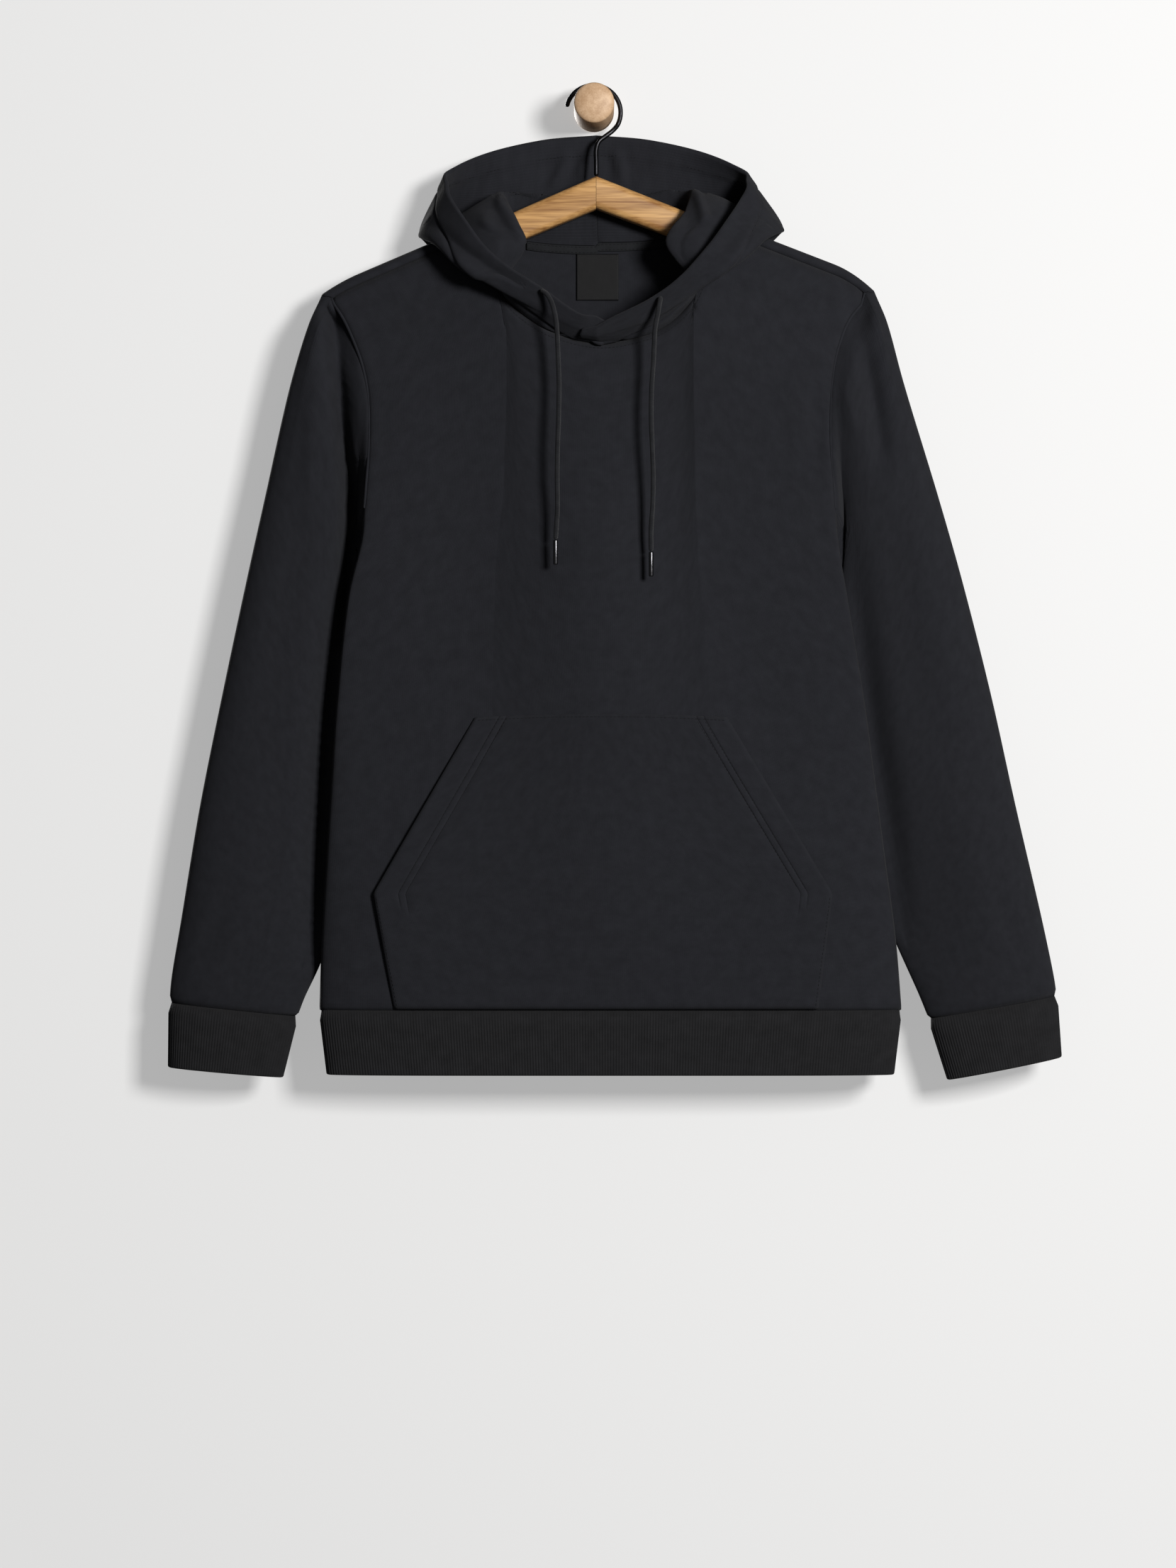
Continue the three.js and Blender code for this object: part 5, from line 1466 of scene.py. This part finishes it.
def stitch_shape():
    """One stitch: a cube stretched along X, its ends and edges drawn in."""
    bpy.ops.object.select_all(action="DESELECT")
    bpy.ops.mesh.primitive_cube_add(size=1)
    cube = bpy.context.object
    bpy.ops.object.mode_set(mode="EDIT")
    bpy.ops.mesh.select_all(action="SELECT")
    bpy.ops.mesh.subdivide(number_cuts=1)
    bpy.ops.object.mode_set(mode="OBJECT")
    points = np.array([vertex.co for vertex in cube.data.vertices])
    faces_ = [tuple(face.vertices) for face in cube.data.polygons]
    bpy.data.objects.remove(cube)
    ball = points / np.linalg.norm(points, axis=1, keepdims=True) * 0.5
    rounded = mix(points, ball, 0.7)
    return rounded * (STITCH_LENGTH, STITCH_WIDTH, STITCH_WIDTH), np.array(faces_)


STITCH_POINTS, STITCH_FACES = stitch_shape()


def stitch_line(line, normal):
    """The points of stitches along a line on the cloth, each turned to the line and the cloth."""
    lengths = lengths_of(line)
    count = max(2, int(lengths[-1] / STITCH_PITCH))
    at = (np.arange(count) + 0.5) / count
    place = along(line, at)
    ahead = along(line, np.clip(at + 0.5 / count, 0, 1)) - along(line, np.clip(at - 0.5 / count, 0, 1))
    ahead /= np.linalg.norm(ahead, axis=1, keepdims=True)
    up = along(np.concatenate([line, normal], axis=1), at)[:, 3:]
    up = up - ahead * (up * ahead).sum(axis=1, keepdims=True)
    up /= np.linalg.norm(up, axis=1, keepdims=True)
    side = np.cross(up, ahead)
    return (
        place[:, None]
        - up[:, None] * STITCH_SINK
        + ahead[:, None] * STITCH_POINTS[None, :, :1]
        + side[:, None] * STITCH_POINTS[None, :, 1:2]
        + up[:, None] * STITCH_POINTS[None, :, 2:]
    )


def sew(name, blocks):
    """One mesh of all the stitches in these blocks."""
    points = np.concatenate(blocks)
    count = len(points)
    faces_ = (STITCH_FACES[None] + np.arange(count)[:, None, None] * len(STITCH_POINTS)).reshape(-1, 4)
    mesh = bpy.data.meshes.new(name)
    mesh.from_pydata((points.reshape(-1, 3) * MM).tolist(), [], faces_.tolist())
    flat = mesh.uv_layers.new(name="UVMap")
    corners = np.zeros(len(mesh.loops), np.int32)
    mesh.loops.foreach_get("vertex_index", corners)
    flat.data.foreach_set("uv", (points.reshape(-1, 3)[:, ::2] * MM)[corners].astype(np.float32).ravel())
    piece = bpy.data.objects.new(name, mesh)
    bpy.context.scene.collection.objects.link(piece)
    only(piece)
    bpy.ops.object.shade_smooth()
    dress(piece, thread)
    return piece


def on_cloth(piece, path):
    """A path of x and z laid on a finished piece: its points, and the direction out of the cloth at each."""
    line = np.array([(x, 0, z) for x, z in path], float)
    count = max(4, int(lengths_of(line)[-1] / RAY_STEP))
    places, normals = [], []
    for x, _, z in along(line, np.linspace(0, 1, count)):
        hit, place, normal, _ = piece.ray_cast((x * MM, RAY_FROM_Y, z * MM), RAY_AHEAD)
        if hit:
            places.append(np.array(place) / MM)
            normals.append(np.array(normal))
    return np.array(places), np.array(normals)


def beside(path, distance):
    """A path of x and z moved sideways, to the left of its own direction."""
    path = np.asarray(path, float)
    ahead = np.gradient(path, axis=0)
    ahead /= np.linalg.norm(ahead, axis=1, keepdims=True)
    return path + np.stack([-ahead[:, 1], ahead[:, 0]], axis=1) * distance


neck_path = beside(FRONT_LINE[::10, ::2], -NECK_STITCHING)
body_sewing = [stitch_line(*on_cloth(front, neck_path))]
body_stitches = sew("sewing_on_body", body_sewing)

pocket_lines = []
for side, inward in (("left", 1), ("right", -1)):
    top, low, bottom = (np.array([row[side], row["z"]]) for row in POCKET)
    direction = (low - top) / np.linalg.norm(low - top)
    into = np.array([-direction[1], direction[0]]) * inward
    for distance, length in zip(POCKET_STITCHING, OPENING_ROWS):
        below = top[1] + into[1] * distance - OPENING_ROWS_TOP_Z
        start = top + into * distance - direction * below / direction[1]
        pocket_lines.append([start, start + direction * length])
    inset = np.array([POCKET_SIDE_INSET * inward, 0])
    pocket_lines.append([low + inset - (0, 3), bottom + inset + (0, 2)])
share = np.linspace(0, 1, 30)
top_x = mix(POCKET_TOP_ROW["left"], POCKET_TOP_ROW["right"], share)
top_z = POCKET_TOP_ROW["z"] + POCKET_ARCH * 4 * share * (1 - share)
pocket_lines.append(np.stack([top_x, top_z], axis=1))
pocket_sewing = [stitch_line(*on_cloth(pocket, line)) for line in pocket_lines]
pocket_stitches = sew("sewing_on_pocket", pocket_sewing)


def tunnel_sewing(side):
    """The stitch line of the hood's tunnel, on both faces of the cloth."""
    rows = halves[side]
    far = from_edge(rows)
    width = tunnel_width(rows)
    line = np.array([
        [np.interp(-wide, -far_row, row[:, axis]) for axis in range(3)]
        for row, far_row, wide in zip(rows, far, width[:, 0])
    ])
    normal = outward(rows)
    columns = np.abs(far - width).argmin(axis=1)
    up = normal[np.arange(len(rows)), columns]
    keep = slice(FLAP_ROWS + 4, None)
    return [stitch_line((line + up * face * TUNNEL_STITCH_LIFT)[keep], (up * face)[keep]) for face in (1, -1)]


hood_stitches = sew("sewing_on_hood", [*tunnel_sewing("left"), *tunnel_sewing("right")])
tape_lines = [
    [(x, tape_top(x) - drop) for x in np.linspace(TAPE_LEFT + 1, TAPE_RIGHT - 1, 60)] for drop in (1.2, 5.8)
]
neck_stitches = sew("sewing_on_neck_tape", [stitch_line(*on_cloth(tape, line)) for line in tape_lines])
print("stitches:", sum(len(block) for block in body_sewing + pocket_sewing))

# %% [markdown]
# ## The hanger
# Two flat oak arms meet in a mitre at the middle. Each starts as a cube that is stretched to its length. Its
# ends are moved to the mitre and the slope, and a Bevel modifier rounds its long edges as a router does.

# %% Hanger arms
ARM_HEIGHT, ARM_THICK, ARM_EDGE = 26, 20, 6
ARM_REACH = {"left": 210, "right": 204}
ARM_END_SIZE = 0.86
MITRE_GAP = 0.15


def make_arm(side, material):
    sign = -1 if side == "left" else 1
    slope = ARM_SLOPE[side]
    steep = math.hypot(1, slope)
    bpy.ops.object.select_all(action="DESELECT")
    bpy.ops.mesh.primitive_cube_add(size=1)
    arm = bpy.context.object
    arm.name = arm.data.name = f"arm_{side}"
    for vertex in arm.data.vertices:
        x, y, z = vertex.co
        at_end = x * sign > 0
        size = ARM_END_SIZE if at_end else 1
        out = ARM_REACH[side] if at_end else MITRE_GAP
        middle = HANGER_TOP_Z - out * slope - ARM_HEIGHT * steep / 2
        vertex.co = (
            (HANGER_X + sign * out) * MM,
            (HANGER_Y + y * ARM_THICK * size) * MM,
            (middle + z * ARM_HEIGHT * steep * size) * MM,
        )
    bevel = arm.modifiers.new("router", "BEVEL")
    bevel.width = ARM_EDGE * MM
    bevel.segments = 6
    bevel.limit_method = "WEIGHT"
    weights = arm.data.attributes.new("bevel_weight_edge", "FLOAT", "EDGE")
    for edge in arm.data.edges:
        a, b = (arm.data.vertices[index].co for index in edge.vertices)
        if abs(a.x - b.x) > 50 * MM:
            weights.data[edge.index].value = 1
        elif abs(a.x - HANGER_X * MM) > 50 * MM:
            weights.data[edge.index].value = 0.3
    bpy.ops.object.modifier_apply(modifier=bevel.name)
    bpy.ops.object.shade_smooth_by_angle(angle=math.radians(35))
    dress(arm, material)
    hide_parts(f"hanger_arm_{side}")
    return arm


make_arm("left", oak_left)
make_arm("right", oak_right)

# %% [markdown]
# The hook is bent from black wire: a short stem out of the arms, a slant to the side, and most of a circle
# over the peg. The peg is a turned beech dowel with a slightly domed end.

# %% Hook and peg
WIRE_WIDTH = 4
HOOK_STEM = [
    (1.8, -33, -59.4), (1.8, -32.4, -48), (1.8, -31.2, -36), (4.2, -30.2, -29.2), (10, -29, -24.4),
    (16, -27.6, -19.6),
]
HOOK_Y, HOOK_RADIUS, HOOK_X, HOOK_Z = -25, 23.4, -0.6, -3.7
HOOK_FROM, HOOK_TO = -26, 168
PEG_RADIUS, PEG_LENGTH, PEG_DOME = 17.2, 65, 5

arc = np.radians(np.linspace(HOOK_FROM, HOOK_TO, 15))
hook_points = HOOK_STEM + [
    (HOOK_X + HOOK_RADIUS * math.cos(angle), HOOK_Y, HOOK_Z + HOOK_RADIUS * math.sin(angle)) for angle in arc
]
hook_line, hook_radii = round_ends(smooth_line(hook_points, 8), WIRE_WIDTH / 2)
hook = rolled("hook", hook_line, hook_radii, 20)
dress(hook, wire)
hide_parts("hanger_hook")

bpy.ops.object.select_all(action="DESELECT")
bpy.ops.mesh.primitive_cylinder_add(
    vertices=96, radius=PEG_RADIUS * MM, depth=PEG_LENGTH * MM,
    location=(0, -PEG_LENGTH / 2 * MM, 0), rotation=(math.pi / 2, 0, 0),
)
peg = bpy.context.object
peg.name = peg.data.name = "peg"
bpy.ops.object.transform_apply()
bpy.ops.object.mode_set(mode="EDIT")
bpy.ops.mesh.select_all(action="DESELECT")
bpy.ops.object.mode_set(mode="OBJECT")
for face in peg.data.polygons:
    face.select = face.normal.y < -0.9
bpy.ops.object.mode_set(mode="EDIT")
for ring in range(1, 9):
    narrower = math.cos(math.pi / 2 * (ring - 1) / 8) - math.cos(math.pi / 2 * ring / 8)
    bpy.ops.mesh.inset(thickness=PEG_RADIUS * narrower * 0.97 * MM)
bpy.ops.object.mode_set(mode="OBJECT")
for vertex in peg.data.vertices:
    if vertex.co.y < -(PEG_LENGTH - 0.1) * MM:
        radius = math.hypot(vertex.co.x, vertex.co.z) / (PEG_RADIUS * MM)
        vertex.co.y += PEG_DOME * (1 - math.sqrt(max(0, 1 - min(radius, 1) ** 2))) * MM
bpy.ops.object.shade_smooth_by_angle(angle=math.radians(50))
dress(peg, beech)
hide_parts("wall_peg")

# %% [markdown]
# ## The cloth's areas
# Each sheet of cloth is listed with the size that it was cut to, and its area is printed beside the area of
# its cut.

# %% Sheets


def cloth_area(piece):
    """Half of a closed wall's surface, in square metres."""
    return sum(face.area for face in piece.data.polygons) / 2


# Each piece's cut as width and length, the area of its outline, how it is held, and what it rests on
ARMS = ["hanger_arm_left", "hanger_arm_right"]
SHEETS = [
    (front, (0.565, 0.607), 0.314, "hung", ARMS, [body_stitches]),
    (back, (0.565, 0.655), 0.333, "hung", ARMS, []),
    (sleeves["left"][0], (0.315, 0.585), 0.152, "hung", ["back_panel"], []),
    (sleeves["right"][0], (0.32, 0.59), 0.157, "hung", ["back_panel"], []),
    (cuffs["left"], (0.236, 0.056), 0.0131, "hung", ["sleeve_left"], []),
    (cuffs["right"], (0.237, 0.056), 0.0131, "hung", ["sleeve_right"], []),
    (hem, (1.04, 0.055), 0.0572, "hung", ["front_panel"], []),
    (hoods["left"], (0.34, 0.22), 0.062, "folded", ["back_panel"], [hood_stitches]),
    (hoods["right"], (0.34, 0.23), 0.064, "folded", ["back_panel"], []),
    (pocket, (0.389, 0.25), 0.0818, "hung", ["front_panel"], [pocket_stitches]),
    (tape, (0.112, 0.01), 0.0008, "hung", ["back_panel"], [neck_stitches]),
    (label, (0.036, 0.04), 0.00144, "hung", ["back_panel"], []),
]
for piece, flat, area, held, rests_on, with_pieces in SHEETS:
    print(piece.name, "measures", round(cloth_area(piece), 4), "m2, cut as", area, "m2")
